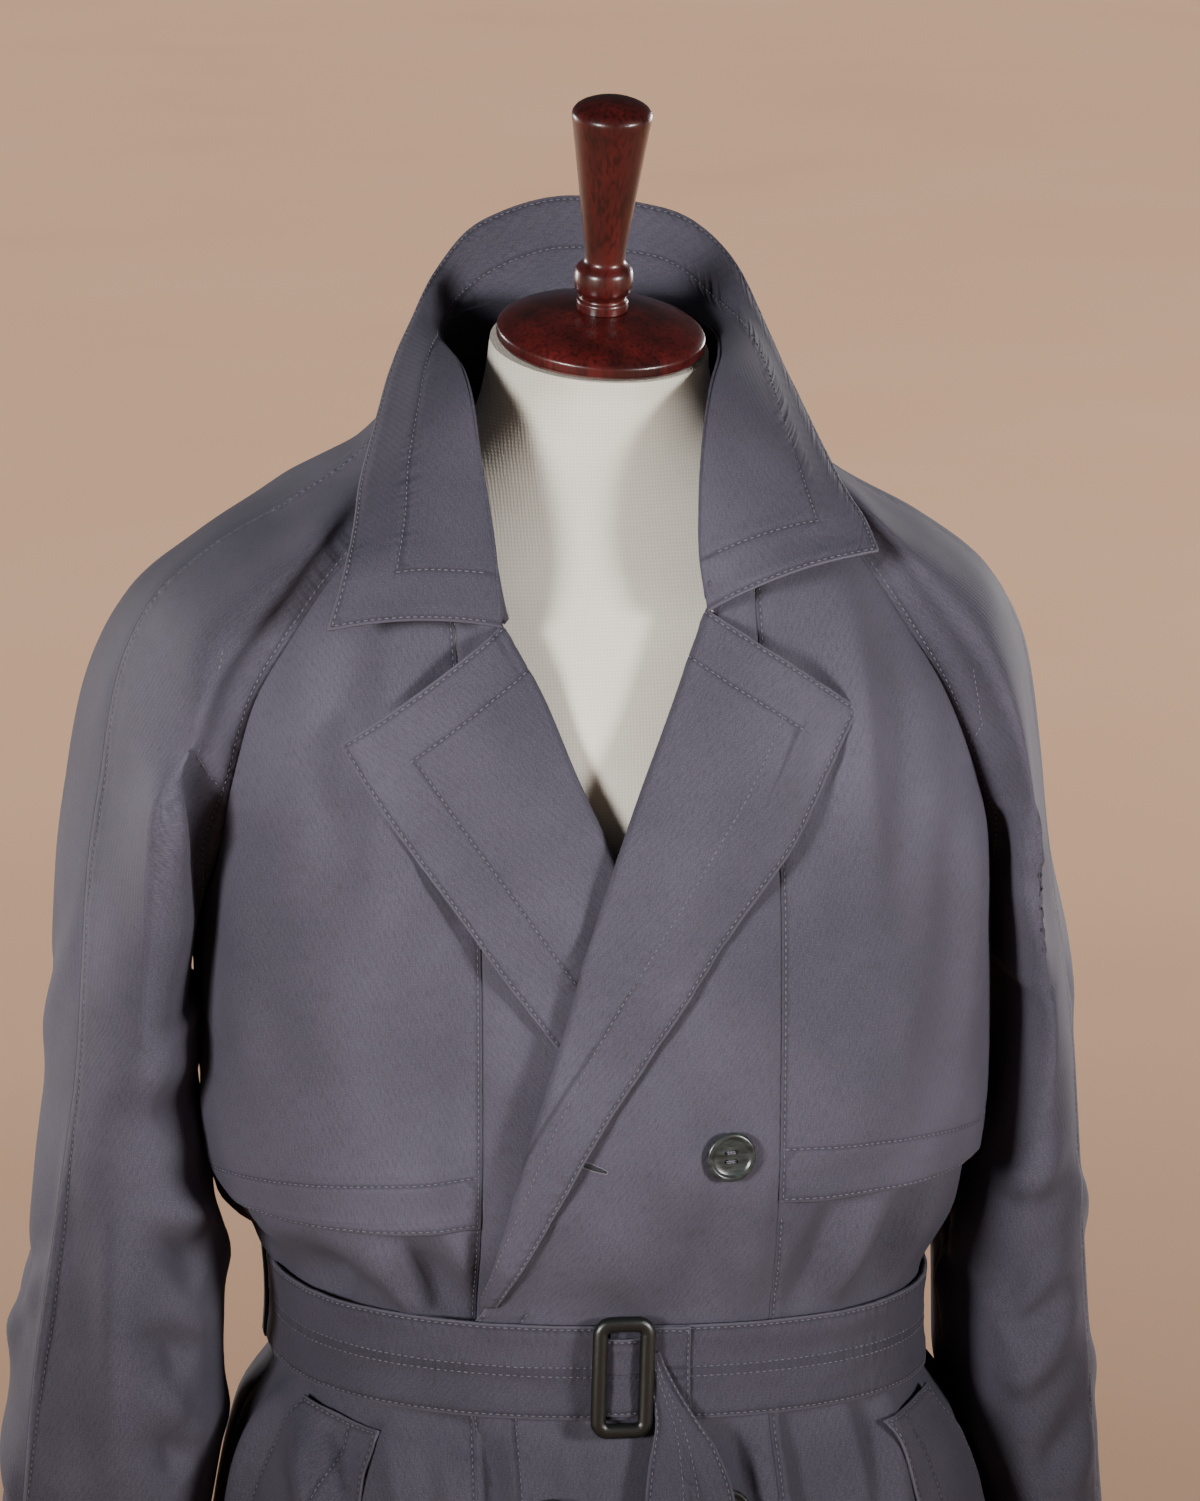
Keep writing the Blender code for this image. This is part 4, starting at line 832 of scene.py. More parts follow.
def sewn_line(path, normals, pitch=STITCH_PITCH, length=STITCH_LENGTH, thick=STITCH_THICK):
    """Points of all the grains along one path."""
    steps = np.linalg.norm(np.diff(path, axis=0), axis=1)
    run = np.concatenate([[0], np.cumsum(steps)])
    middles = np.arange(pitch / 2, run[-1], pitch)

    def on(values, at):
        return np.stack([np.interp(at, run, values[:, k]) for k in range(3)], axis=1)

    centre, normal = on(path, middles), on(normals, middles)
    way = on(path, middles + length / 2) - on(path, middles - length / 2)
    way /= np.linalg.norm(way, axis=1, keepdims=True) + 1e-12
    side = np.cross(normal, way)
    centre = centre + normal * thick * 0.15
    scaled = GRAIN_POINTS * (length, thick, thick * 0.8)
    points = (centre[:, None] + scaled[None, :, :1] * way[:, None] + scaled[None, :, 1:2] * side[:, None]
              + scaled[None, :, 2:] * normal[:, None])
    return points.reshape(-1, 3)


# %% [markdown]
# ## Finishes
# The coat is cotton gabardine: a tight twill whose steep diagonal lines catch the light, in a grey with a
# violet cast. The buttons are polished resin made to look like horn, the buckle is covered in fine-grained
# leather, the form wears plain off-white cotton, and its cap and finial are stained, varnished hardwood.

# %% Colour and node helpers
def linear(hex_code):
    """An sRGB hex value as linear light."""
    parts = [int(hex_code[i:i + 2], 16) / 255 for i in (0, 2, 4)]
    return [p / 12.92 if p <= 0.04045 else ((p + 0.055) / 1.055) ** 2.4 for p in parts] + [1.0]


def node(tree, kind, links=(), stops=(), **values):
    """Adds a node. Values set its properties or sockets, links join (socket, node, output) to it, and stops
    are the places and colours of a colour ramp."""
    made = tree.nodes.new("ShaderNode" + kind)
    for name, value in values.items():
        if hasattr(made, name):
            setattr(made, name, value)
        else:
            made.inputs[name.replace("_", " ")].default_value = value
    for socket, source, output in links:
        tree.links.new(source.outputs[output], made.inputs[socket])
    for _ in stops[2:]:
        made.color_ramp.elements.new(0.5)
    for number, (place, colour) in enumerate(stops):
        made.color_ramp.elements[number].position = place
        made.color_ramp.elements[number].color = linear(colour)
    return made


def finish(name, roughness, **constants):
    """An empty material with its shader's constants set on their own sockets."""
    material = bpy.data.materials.new(name)
    material.use_nodes = True
    shader = material.node_tree.nodes["Principled BSDF"]
    shader.inputs["Roughness"].default_value = roughness
    for socket, value in constants.items():
        shader.inputs[socket.replace("_", " ")].default_value = value
    return material, material.node_tree, shader


# %% [markdown]
# ### Twill-woven cotton gabardine
# The twill lines climb at about 60 degrees. Real ones are 0.5 mm apart, too fine for a picture of the whole
# coat, so they are drawn 3 mm apart and very shallow. Dyed cotton is never quite even: slubs along the warp,
# paler yarns and broad patches change its grey. Thread pulls small puckers along each seam, rims wear
# lighter, and painted shade darkens the cloth along each stitch line, in its groove. The cloth's own UV map
# is in metres, so the weave keeps its size on every panel.

# %% Gabardine
TWILL_SCALE = 105.0  # a Wave texture's lines are 0.314 m apart over its scale, here 3 mm
TWILL_TURN = math.radians(28)


def gabardine(name, dark, base, light):
    """Twill with slubs, flecks, worn rims and puckered seams, in three tones of one dye, with painted
    shade in the groove along each stitch line.
    """
    material, tree, shader = finish(name, 0.76, Specular_IOR_Level=0.14, Sheen_Weight=0.05,
                                    Sheen_Roughness=0.5)
    shader.inputs["Sheen Tint"].default_value = linear("B9B9C8")
    weave = node(tree, "UVMap", uv_map="cloth")
    seam = node(tree, "UVMap", uv_map="seam")
    place = node(tree, "TexCoord")
    turn = node(tree, "Mapping", (("Vector", weave, "UV"),), Rotation=(0, 0, TWILL_TURN))
    twill = node(tree, "TexWave", (("Vector", turn, "Vector"),), wave_type="BANDS", bands_direction="X",
                 Scale=TWILL_SCALE, Distortion=0.8, Detail=2.0, Detail_Scale=2.0)
    warp = node(tree, "Mapping", (("Vector", weave, "UV"),), Scale=(1500, 160, 1))
    slub = node(tree, "TexNoise", (("Vector", warp, "Vector"),), Scale=1.0, Detail=2.0)
    patch = node(tree, "TexNoise", (("Vector", place, "Object"),), Scale=9.0, Detail=4.0)
    fleck = node(tree, "TexNoise", (("Vector", weave, "UV"),), Scale=1400.0, Detail=1.0)
    tone = node(tree, "ValToRGB", ((0, patch, "Fac"),), ((0.30, dark), (0.52, base), (0.75, light)))
    yarn = node(tree, "ValToRGB", ((0, slub, "Fac"),), ((0.30, "8C8C8C"), (0.55, "FFFFFF")))
    line = node(tree, "ValToRGB", ((0, twill, "Fac"),), ((0.10, "B8B8B8"), (0.60, "FFFFFF")))
    speck = node(tree, "ValToRGB", ((0, fleck, "Fac"),), ((0.45, "000000"), (0.80, "8A8A98")))
    woven = node(tree, "Mix", (("A", tone, 0), ("B", yarn, 0)), data_type="RGBA", blend_type="MULTIPLY",
                 Factor=0.30)
    ribbed = node(tree, "Mix", (("A", woven, 2), ("B", line, 0)), data_type="RGBA", blend_type="MULTIPLY",
                  Factor=0.11)
    flecked = node(tree, "Mix", (("A", ribbed, 2), ("B", speck, 0)), data_type="RGBA", blend_type="SCREEN",
                   Factor=0.12)
    rim = node(tree, "Attribute", attribute_name="rim")
    wear = node(tree, "MapRange", (("Value", rim, "Fac"),), From_Min=0.0, From_Max=0.0018,
                To_Min=0.45, To_Max=0.0)
    worn = node(tree, "Mix", (("Factor", wear, 0), ("A", flecked, 2)), data_type="RGBA", B=linear("625F6B"))
    parts = node(tree, "SeparateXYZ", (("Vector", seam, "UV"),))
    # Painted shade: the cloth turns near-black towards each stitch line, standing for the shadow in its sunk
    # groove.
    close = node(tree, "MapRange", (("Value", parts, "X"),), interpolation_type="SMOOTHSTEP",
                 From_Min=0.0, From_Max=0.0022, To_Min=0.45, To_Max=0.0)
    groove_shaded = node(tree, "Mix", (("Factor", close, 0), ("A", worn, 2)), data_type="RGBA", B=linear("201E26"))
    tree.links.new(groove_shaded.outputs[2], shader.inputs["Base Color"])

    pull = node(tree, "TexNoise", (("W", parts, "Y"),), noise_dimensions="1D", Scale=170.0, Detail=1.0)
    near = node(tree, "MapRange", (("Value", parts, "X"),), interpolation_type="SMOOTHSTEP",
                From_Min=0.0, From_Max=0.011, To_Min=1.0, To_Max=0.0)
    pucker = node(tree, "Math", ((0, pull, 0), (1, near, 0)), operation="MULTIPLY")
    height = node(tree, "Math", ((0, twill, "Fac"), (1, slub, "Fac")), operation="ADD")
    fine = node(tree, "Bump", (("Height", height, 0),), Strength=0.20, Distance=0.00025)
    soft = node(tree, "Bump", (("Height", pucker, 0), ("Normal", fine, 0)), Strength=0.60, Distance=0.0018)
    tree.links.new(soft.outputs[0], shader.inputs["Normal"])
    return material


coat_cloth = gabardine("gabardine_twill_cotton", "3A3843", "44414C", "4E4B58")
belt_cloth = gabardine("gabardine_belt_cotton", "35333D", "3E3B46", "484551")

# %% [markdown]
# ### Thread, resin, leather, cotton cover, wood and steel
# Polyester-cotton thread is a touch lighter than the cloth. Cast resin gets dark clouds and a polish. The
# buckle's leather has a pebbled grain under a millimetre across. The form's cover is a plain weave, drawn
# with threads 1.65 mm apart, because the real ones are too fine to show. Turned wood shows its grain along
# the lathe's axis under a glossy varnish. The stand is powder coated, which leaves a fine orange peel.

# %% The other finishes
def speckled(name, roughness, first, second, scale, bump, distance, stretch=(1, 1, 1), **constants):
    """A finish of two tones in noise, with the same noise as its relief."""
    material, tree, shader = finish(name, roughness, **constants)
    place = node(tree, "TexCoord")
    size = node(tree, "Mapping", (("Vector", place, "Object"),), Scale=stretch)
    cloud = node(tree, "TexNoise", (("Vector", size, "Vector"),), Scale=scale, Detail=5.0)
    tone = node(tree, "ValToRGB", ((0, cloud, "Fac"),), ((0.35, first), (0.68, second)))
    tree.links.new(tone.outputs[0], shader.inputs["Base Color"])
    relief = node(tree, "Bump", (("Height", cloud, "Fac"),), Strength=bump, Distance=distance)
    tree.links.new(relief.outputs[0], shader.inputs["Normal"])
    return material


sewing_thread = speckled("polyester_cotton_thread", 0.65, "55525D", "67646F", 2500, 0.3, 0.0001)
buckle_thread = speckled("waxed_black_thread", 0.5, "3A403C", "4A504B", 2500, 0.3, 0.0001)
slit_shadow = speckled("buttonhole_shadow_cotton", 0.9, "1C1B20", "26242B", 900, 0.2, 0.0001)
button_resin = speckled("polished_horn_resin", 0.30, "1A1D1D", "343A39", 160, 0.05, 0.0002, (1, 1, 3),
                        Specular_IOR_Level=0.5, Coat_Weight=0.08, Coat_Roughness=0.25)
buckle_leather = speckled("fine_grain_leather", 0.38, "070908", "101412", 1300, 0.55, 0.0003,
                          Specular_IOR_Level=0.5, Coat_Weight=0.25, Coat_Roughness=0.25)
powder_coat = speckled("black_powder_coat", 0.42, "1A1A1C", "232326", 700, 0.25, 0.0002)
COVER_SCALE = 190.0  # threads 1.65 mm apart


def cotton_cover():
    """Off-white plain weave: two sets of threads that cross, faintly clouded."""
    material, tree, shader = finish("plain_weave_cotton_cover", 0.9, Specular_IOR_Level=0.2, Sheen_Weight=0.1)
    place = node(tree, "TexCoord")
    across_threads, up_threads = (
        node(tree, "TexWave", (("Vector", place, "Object"),), wave_type="BANDS", bands_direction=direction,
             Scale=COVER_SCALE, Distortion=1.5, Detail=1.0)
        for direction in ("X", "Z")
    )
    cross = node(tree, "Math", ((0, across_threads, "Fac"), (1, up_threads, "Fac")), operation="MULTIPLY")
    cloud = node(tree, "TexNoise", (("Vector", place, "Object"),), Scale=14.0, Detail=3.0)
    tone = node(tree, "ValToRGB", ((0, cloud, "Fac"),), ((0.3, "CEC7BA"), (0.7, "DFD9CD")))
    shade = node(tree, "ValToRGB", ((0, cross, 0),), ((0.0, "CFCFCF"), (0.6, "FFFFFF")))
    cotton = node(tree, "Mix", (("A", tone, 0), ("B", shade, 0)), data_type="RGBA", blend_type="MULTIPLY",
                  Factor=0.35)
    tree.links.new(cotton.outputs[2], shader.inputs["Base Color"])
    relief = node(tree, "Bump", (("Height", cross, 0),), Strength=0.35, Distance=0.0004)
    tree.links.new(relief.outputs[0], shader.inputs["Normal"])
    return material


def turned_wood():
    """Dark red stain over straight grain that runs up the piece, with fine pores, under varnish."""
    material, tree, shader = finish("stained_varnished_hardwood", 0.34, Coat_Weight=0.35, Coat_Roughness=0.16)
    place = node(tree, "TexCoord")
    lengthwise = node(tree, "Mapping", (("Vector", place, "Object"),), Scale=(1, 1, 0.07))
    fibres = node(tree, "TexNoise", (("Vector", lengthwise, "Vector"),), Scale=520.0, Detail=5.0)
    cloud = node(tree, "TexNoise", (("Vector", lengthwise, "Vector"),), Scale=70.0, Detail=3.0)
    tone = node(tree, "ValToRGB", ((0, cloud, "Fac"),),
                ((0.30, "2E0B0A"), (0.55, "451110"), (0.78, "5A1917")))
    pores = node(tree, "ValToRGB", ((0, fibres, "Fac"),), ((0.38, "3C3C3C"), (0.52, "FFFFFF")))
    stained = node(tree, "Mix", (("A", tone, 0), ("B", pores, 0)), data_type="RGBA", blend_type="MULTIPLY",
                   Factor=0.55)
    tree.links.new(stained.outputs[2], shader.inputs["Base Color"])
    relief = node(tree, "Bump", (("Height", fibres, "Fac"),), Strength=0.12, Distance=0.0002)
    tree.links.new(relief.outputs[0], shader.inputs["Normal"])
    return material


cover_cotton = cotton_cover()
stained_wood = turned_wood()
print("finishes:", sorted(material.name for material in bpy.data.materials))

# %% [markdown]
# ## Making a cloth piece
# The grid is an operator's plane whose vertices are moved to the sheet. It gets its folds, its edges and two
# UV maps in metres: one for the weave, one for the distance from the nearest stitch line. A modifier then
# gives it its wall. Its flat size is measured before the folds, as a cutter would lay it out.

# %% Pieces and their meshes
pieces = {}
flat_sizes = {}


def add_piece(name, mesh, material, slot_name, *parts):
    """Puts a mesh into the scene as a piece of the coat or its form that replaces these parts."""
    mesh.materials.clear()
    mesh.materials.append(material)
    piece = bpy.data.objects.new(name, mesh)
    bpy.context.scene.collection.objects.link(piece)
    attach(piece, "root")
    if parts:
        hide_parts(*parts)
    pieces[name] = piece
    return piece


def finished_mesh(bm, name):
    mesh = bpy.data.meshes.new(name)
    bm.to_mesh(mesh)
    bm.free()
    return mesh


def cloth_mesh(name, flat, formed, nearest, rim, flip):
    """The formed sheet as a mesh with its UV maps and its distance from the rim."""
    rows, columns = flat.shape[:2]
    bm = bmesh.new()
    bmesh.ops.create_grid(bm, x_segments=columns - 1, y_segments=rows - 1, size=1)
    bm.verts.ensure_lookup_table()
    for vert, point in zip(bm.verts, formed.reshape(-1, 3)):
        vert.co = point
    if flip:
        bmesh.ops.reverse_faces(bm, faces=bm.faces)
    distance = edge_distances(flat)
    u, v, d = distance["low"].reshape(-1), distance["first"].reshape(-1), nearest.reshape(-1)
    run = v if rows > columns else u
    cloth_uv, seam_uv = bm.loops.layers.uv.new("cloth"), bm.loops.layers.uv.new("seam")
    for face in bm.faces:
        for loop in face.loops:
            i = loop.vert.index
            loop[cloth_uv].uv = (u[i], v[i])
            loop[seam_uv].uv = (d[i], run[i])
    mesh = finished_mesh(bm, name)
    mesh.shade_smooth()
    rims = mesh.attributes.new("rim", "FLOAT", "POINT")
    rims.data.foreach_set("value", rim.reshape(-1).astype(np.float32))
    return mesh


def print_sizes(word):
    """Prints the flat width, length and area of the pieces whose names hold this word."""
    print(word + ":", {name: size for name, size in flat_sizes.items() if word in name})

# %% The sheet as it was cut, and its stitch lines
FREE_INSET = 0.0015  # a line stops this far short of an edge that has no line of its own


def declare_sheet(part, flat):
    distance = edge_distances(flat)
    width, length = float(distance["low"][:, -1].max()), float(distance["first"][-1].max())
    diagonals = flat[1:, 1:] - flat[:-1, :-1], flat[1:, :-1] - flat[:-1, 1:]
    area = float(np.linalg.norm(np.cross(*diagonals), axis=2).sum() / 2)
    area = min(area, 0.99 * width * length)
    flat_sizes[part] = (round(width, 3), round(length, 3), round(area, 4))


def sew_lines(part, flat, formed, normals, lines, hide):
    """Keeps the stitch lines that run along the sheet's edges, apart from what another piece covers."""
    distance = edge_distances(flat)
    for edge, places in lines.items():
        down = edge in ("low", "high")  # a line beside these follows a column, and else a row
        ends = ("first", "last") if down else ("low", "high")
        for line in places:
            nearest = int(np.argmin(np.abs(distance[edge].mean(axis=0 if down else 1) - line)))
            pick = (slice(None), nearest) if down else (nearest, slice(None))
            keep = shown_points(formed[pick], hide)
            for end in ends:
                inset = min(line, max(lines[end])) if end in lines else FREE_INSET
                keep &= distance[end][pick] >= inset - 1e-6
            sew(part, formed[pick], normals[pick], keep)

# %% Cloth pieces
def cloth_piece(part, grid, group, lines, free=(), *, flip=False, wall=CLOTH, spacing=0.004,
                relief=True, material=None, hide=None, dense=0.0, solid=True,
                lift=0.0):
    """Replaces the part's solid with a finely formed sheet and sews its stitch lines."""
    flat = measured(grid, lines, spacing, dense)
    normals = normals_of(flat, flip)
    depth, nearest, rim = edge_relief(flat, lines, free, hide)
    if relief:
        calm = 1.0 if group == "lapel" else calm_at_seams(flat, free)
        depth = depth + calm * (fold_relief(flat, normals, group) + slack(flat, group, nearest))
    formed = flat + normals * (depth + lift)[..., None]
    normals = normals_of(formed, flip)

    name = part + "_cloth"
    mesh = cloth_mesh(name, flat, formed, nearest, rim, flip)
    piece = add_piece(name, mesh, material or coat_cloth, "gabardine", *([part] if solid else []))
    thickness = piece.modifiers.new("wall", "SOLIDIFY")
    thickness.thickness = wall
    thickness.offset = -1
    declare_sheet(part, flat)
    sew_lines(part, flat, formed, normals, lines, hide)
    return formed, normals


# %% [markdown]
# ## Fronts, sides and backs
# The left front laps over the right one, so its free edge shows from the lapel to the hem with two lines of
# stitching. The long front seam catches the flap's edge. The back is two panels with a centre seam.

# %% Body panels
ROW_STEP = 0.006
LAPEL_COVERS = 1.0  # the front's stitches are hidden above this height
FLAP_COVERS = 1.05  # and those of the side front above this one


def front_height(z):
    """The height on the front raglan seam that goes with a height on the back one."""
    return ARMPIT + (z - ARMPIT) * (FRONT_TOP - ARMPIT) / (BACK_TOP - ARMPIT) if z > ARMPIT else z


def to_neckline(angle, z, top):
    """Raises or lowers a row near a panel's top so that its last one follows the neckline."""
    return z + (neckline_height(angle) - top) * soft_step(z, 1.36, top)


def rows_between(*heights):
    """Heights about 6 mm apart from the first to the last, meeting each one given."""
    return stretches(*[(a, b, max(1, round((b - a) / ROW_STEP))) for a, b in zip(heights, heights[1:])])


def front_grid(side):
    """From the closing edge, and above it the lapel's roll line, to the long front seam."""
    edge = {LEFT: CLOSING_EDGE, RIGHT: UNDER_EDGE}[side]
    roll = [(z, x) for x, z, _, _ in LAPEL[side]]
    roll_foot, roll_head = roll[0][0], roll[-1][0]
    grid = []
    for z in rows_between(HEM, BELT_FOOT, BELT_HEAD, 1.06, 1.35, 1.400):
        if z <= roll_foot:
            share = soft_step(z, 0.985, roll_foot)
            start = angle_of(side, edge + (roll[0][1] + side * EDGE_BACK - edge) * share, z)
        elif z < roll_head:
            start = angle_of(side, column(roll, z) + side * EDGE_BACK, z)
        else:
            start = neckline_angle(z) + NECK_BACK_ANGLE
        end = angle_of(side, seam_x(side, z), z)
        grid.append([body(side, angle, z) for angle in spread(start, end, 19)])
    return held_back(grid, last=SEAM)


def side_front_grid(side):
    """From the long front seam round to the side, and to the raglan seam above the armpit."""
    grid = []
    for z in rows_between(HEM, BELT_FOOT, BELT_HEAD, ARMPIT, FRONT_TOP):
        angles = spread(angle_of(side, seam_x(side, z), z), raglan_angle(z), 25)
        grid.append([body(side, angle, to_neckline(angle, z, FRONT_TOP)) for angle in angles])
    return held_back(grid, first=SEAM, last=SEAM)


def back_grid(side):
    """From the side and the raglan seam to the centre back."""
    grid = []
    for z in rows_between(HEM, BELT_FOOT, BELT_HEAD, ARMPIT, BACK_TOP):
        angles = spread(180 - raglan_angle(front_height(z)), 180, 27)
        grid.append([body(side, angle, to_neckline(angle, z, BACK_TOP)) for angle in angles])
    return held_back(grid, first=SEAM, last=SEAM)


front_points = {}
for side in (LEFT, RIGHT):
    lapped = {"low": (EDGE_LINE, FRONT_LINE)} if side == LEFT else {}
    formed, _ = cloth_piece(sided("front", side), front_grid(side), "body",
                            {**lapped, "first": (HEM_TURN,)}, ("low", "first"), flip=side == RIGHT,
                            hide=lambda p: p[2] > LAPEL_COVERS)
    front_points[side] = formed.reshape(-1, 3)
    cloth_piece(sided("side_front", side), side_front_grid(side), "side_front",
                {"low": (EDGE_LINE,), "first": (HEM_TURN,)}, ("first",), flip=side == RIGHT,
                hide=lambda p: p[2] > FLAP_COVERS)
    cloth_piece(sided("back", side), back_grid(side), "body",
                {"low": (EDGE_LINE,), "high": (EDGE_LINE,), "first": (HEM_TURN,)}, ("first",),
                flip=side == RIGHT)
print_sizes("front")
print_sizes("back")

# %% [markdown]
# ## Storm flaps
# A loose layer of cloth over each side of the chest keeps rain off. It is caught in the front seam and the
# raglan seam, and its hem hangs free with an edge line and a second line above the turn-up.

# %% Storm flaps
FLAP_KICK = 0.0035  # the stiff hem springs out this much more
HANG_BELOW, KICK_BELOW = 1.20, 1.14
FLAP_CORNER = 0.02  # its lower outer corner is rounded over this height
CORNER_ANGLE = 9.0  # and cut back by this angle
SETTLED = 0.15  # share of its stand-off that is left where it settles into the front seam


def flap_grid(side):
    """From the front seam to the raglan seam, and below the armpit to the flap's own side edge."""
    hem = FLAP_HEM[side]
    grid = []
    for z in rows_between(hem, hem + FLAP_CORNER, ARMPIT, FRONT_TOP):
        low = soft_step(HANG_BELOW - z, 0.0, 0.14)
        corner = CORNER_ANGLE * max(0.0, 1 - (z - hem) / FLAP_CORNER) ** 2
        start = angle_of(side, seam_x(side, z), z)
        end = min(raglan_angle(z), FLAP_SIDE_ANGLE) - corner
        row = []
        for i, angle in enumerate(spread(start, end, 33)):
            hang = low * (FLAP_HANG - FLAP_OUT) * soft_step(i, 0, 16)
            hang += FLAP_KICK * soft_step(KICK_BELOW - z, 0.0, 0.08) * soft_step(i, 0, 5)
            out = (FLAP_OUT + hang) * (SETTLED + (1 - SETTLED) * soft_step(i, 0, 4))
            row.append(body(side, angle, to_neckline(angle, z, FRONT_TOP), out, folds=False))
        grid.append(row)
    return held_back(grid, first=SEAM, last=SEAM)


for side in (LEFT, RIGHT):
    cloth_piece(sided("storm_flap", side), flap_grid(side), "flap",
                {"low": (EDGE_LINE,), "first": (EDGE_LINE, FLAP_LINE)}, ("first",), flip=side == RIGHT,
                wall=LAPEL_CLOTH, spacing=0.0045)
print_sizes("flap")

# %% [markdown]
# ## Pocket welts
# A slanting welt closes each side pocket. Its long inner edge is sewn to the coat and its outer edge is the
# pocket's mouth, so it stands a little prouder there.

# %% Pocket welts
WELT_OUT = 0.0030
MOUTH_OUT = 0.0018  # the pocket's mouth stands this much further out


def welt_grid(side):
    """From the sewn inner edge to the free outer one."""
    grid = []
    for share in spread(0, 1, 32):
        inner, inner_level, outer, outer_level = row_at(WELT, share)
        row = []
        for over in spread(0, 1, 12):
            angle = inner + (outer - inner) * over
            level = inner_level + (outer_level - inner_level) * over
            row.append(body(side, angle, level, WELT_OUT + MOUTH_OUT * over))
        grid.append(row)
    return grid


welt_lines = {"low": (EDGE_LINE, WELT_LINE), "high": (EDGE_LINE,), "first": (EDGE_LINE,),
              "last": (EDGE_LINE,)}
for side in (LEFT, RIGHT):
    cloth_piece(sided("pocket_welt", side), welt_grid(side), "body", welt_lines, tuple(welt_lines),
                flip=side == LEFT)
print_sizes("welt")

# %% [markdown]
# ## Raglan sleeves
# Each sleeve is a front and a back half. They meet along the shoulder and under the arm, and run up to the
# neck in one piece, which gives the coat its sloping shoulder. The sections lean back, because the seam
# along the arm runs in front of the sleeve's widest part.

# %% Sleeve sections
CUFF_ROW = len(SLEEVE) - 1
OUTER_SEAM_Y = -0.006
OUTER_SEAM_FORWARD = 0.030  # it comes this much further forward down the arm
ARMHOLE_GAP = {"front": 0.0015, "back": 0.0040}  # the sleeve leaves the body by this much at the armpit


def quarter(a, corner, b, share):
    """A quarter of an ellipse from a to b, leaving a and reaching b along the lines to the corner."""
    turn = share * math.pi / 2
    return corner + (a - corner) * (1 - math.sin(turn)) + (b - corner) * (1 - math.cos(turn))


def sleeve_rails(side, at):
    """The front seam, front, outer seam, back and back seam points at a row of SLEEVE."""
    row = row_at(SLEEVE, at / CUFF_ROW)
    inner_x, inner_z, left_x, right_x, outer_z, middle, mid_z, front_y, back_y = row
    down = soft_step(at, RAGLAN_ROWS, CUFF_ROW)
    waist = soft_step(at, RAGLAN_ROWS, RAGLAN_ROWS + 3) * (1 - 0.5 * soft_step(at, 12, 15))
    drop = SHOULDER_DROP[side] * soft_step(at, 0, 1) * (1 - soft_step(at, 2, 4))
    swing = SLEEVE_BACK[side] * down
    outer_x = left_x if side == LEFT else -right_x
    forward = OUTER_SEAM_FORWARD * soft_step(at, 3, 10)
    outer = np.array([outer_x, OUTER_SEAM_Y + swing - forward, outer_z - drop])
    if at <= RAGLAN_ROWS:
        back_z = ARMPIT + (inner_z - ARMPIT) * (BACK_TOP - ARMPIT) / (FRONT_TOP - ARMPIT)
        seam_front = body(side, raglan_angle(inner_z), inner_z, FLAP_OUT, folds=False)
        seam_back = body(side, 180 - raglan_angle(inner_z), back_z, 0.0, folds=False)
        near = soft_step(at, RAGLAN_ROWS - 2, RAGLAN_ROWS)
        seam_front[0] += side * ARMHOLE_GAP["front"] * near
        seam_back[0] += side * ARMHOLE_GAP["back"] * near
    else:
        inner = side * (inner_x - SLEEVE_IN[side] * waist)
        seam_front = seam_back = np.array([inner, UNDERARM_Y + swing, inner_z])
    front, back = [
        np.array([seam[0] + middle * (outer_x - seam[0]), y + swing, mid_z - drop])
        for seam, y in ((seam_front, front_y), (seam_back, back_y))
    ]
    rails = [seam_front, front, outer, back, seam_back]
    if at < 1:
        for i, angle in enumerate(NECK_ANGLES):
            neck = body(side, angle, neckline_height(angle), FLAP_OUT * (1 - i / 4), folds=False)
            rails[i] = rails[i] * at + neck * (1 - at)
    return rails


def sleeve_point(side, at, across, half):
    """A point of the sleeve's outer face. Across runs from 0 at the inner seam to 1 at the outer one."""
    seam_front, front, outer, back, seam_back = sleeve_rails(side, at)
    seam, middle = (seam_front, front) if half == "front" else (seam_back, back)
    lean_back = side * SLEEVE_BULGE * soft_step(at, 2, 6)
    if half == "front":
        lean_back *= -(outer[1] - front[1]) / (back[1] - outer[1])
    if across < 0.5:
        a, b, corner = seam, middle, np.array([seam[0], middle[1], seam[2]])
    else:
        a, b, corner = middle, outer, np.array([outer[0] + lean_back, middle[1], outer[2]])
    round_off = soft_step(at, 1, 3) if across < 0.5 else 0.5 + 0.5 * soft_step(at, 0, 2)
    corner = corner * round_off + (a + b) / 2 * (1 - round_off)
    return quarter(a, corner, b, across * 2 % 1 if across < 1 else 1.0)


sleeve_rails = functools.lru_cache(maxsize=None)(sleeve_rails)

# %% [markdown]
# ### The stay by the armhole
# A strip of firm cloth, the stay, lies inside the raglan seam. It holds the sleeve's front nearly straight
# there, and a line of stitches fixes it to the sleeve. The sleeve's edge is tucked a little under the
# coat's, as the layers of a real seam are.

# %% Sleeves
STAY_REACH = 0.62  # how far the stay is felt, as a share of the half's width
STAY_FULL = 0.3  # and how far it is felt in full
STAY_HOLD = 0.72  # how straight it makes the cloth, from 0 to 1
STAY_ROWS = (0.6, 1.8, 5.4, 6.8)  # the rows of SLEEVE over which its hold grows, and over which it ends
RAGLAN_TUCK = 0.0035  # the sleeve's edge lies this far under the front's and the back's


def stayed_point(side, at, over, half):
    """A point of the sleeve where the stay inside the raglan seam holds the cloth nearly straight."""
    point = sleeve_point(side, at, over, half)
    down = soft_step(at, *STAY_ROWS[:2]) * (1 - soft_step(at, *STAY_ROWS[2:]))
    held = STAY_HOLD * down * (1 - soft_step(over, STAY_FULL, STAY_REACH))
    if half == "back" or held == 0:
        return point
    seam, far = sleeve_point(side, at, 0, half), sleeve_point(side, at, STAY_REACH, half)
    return point + (seam + (far - seam) * over / STAY_REACH - point) * held


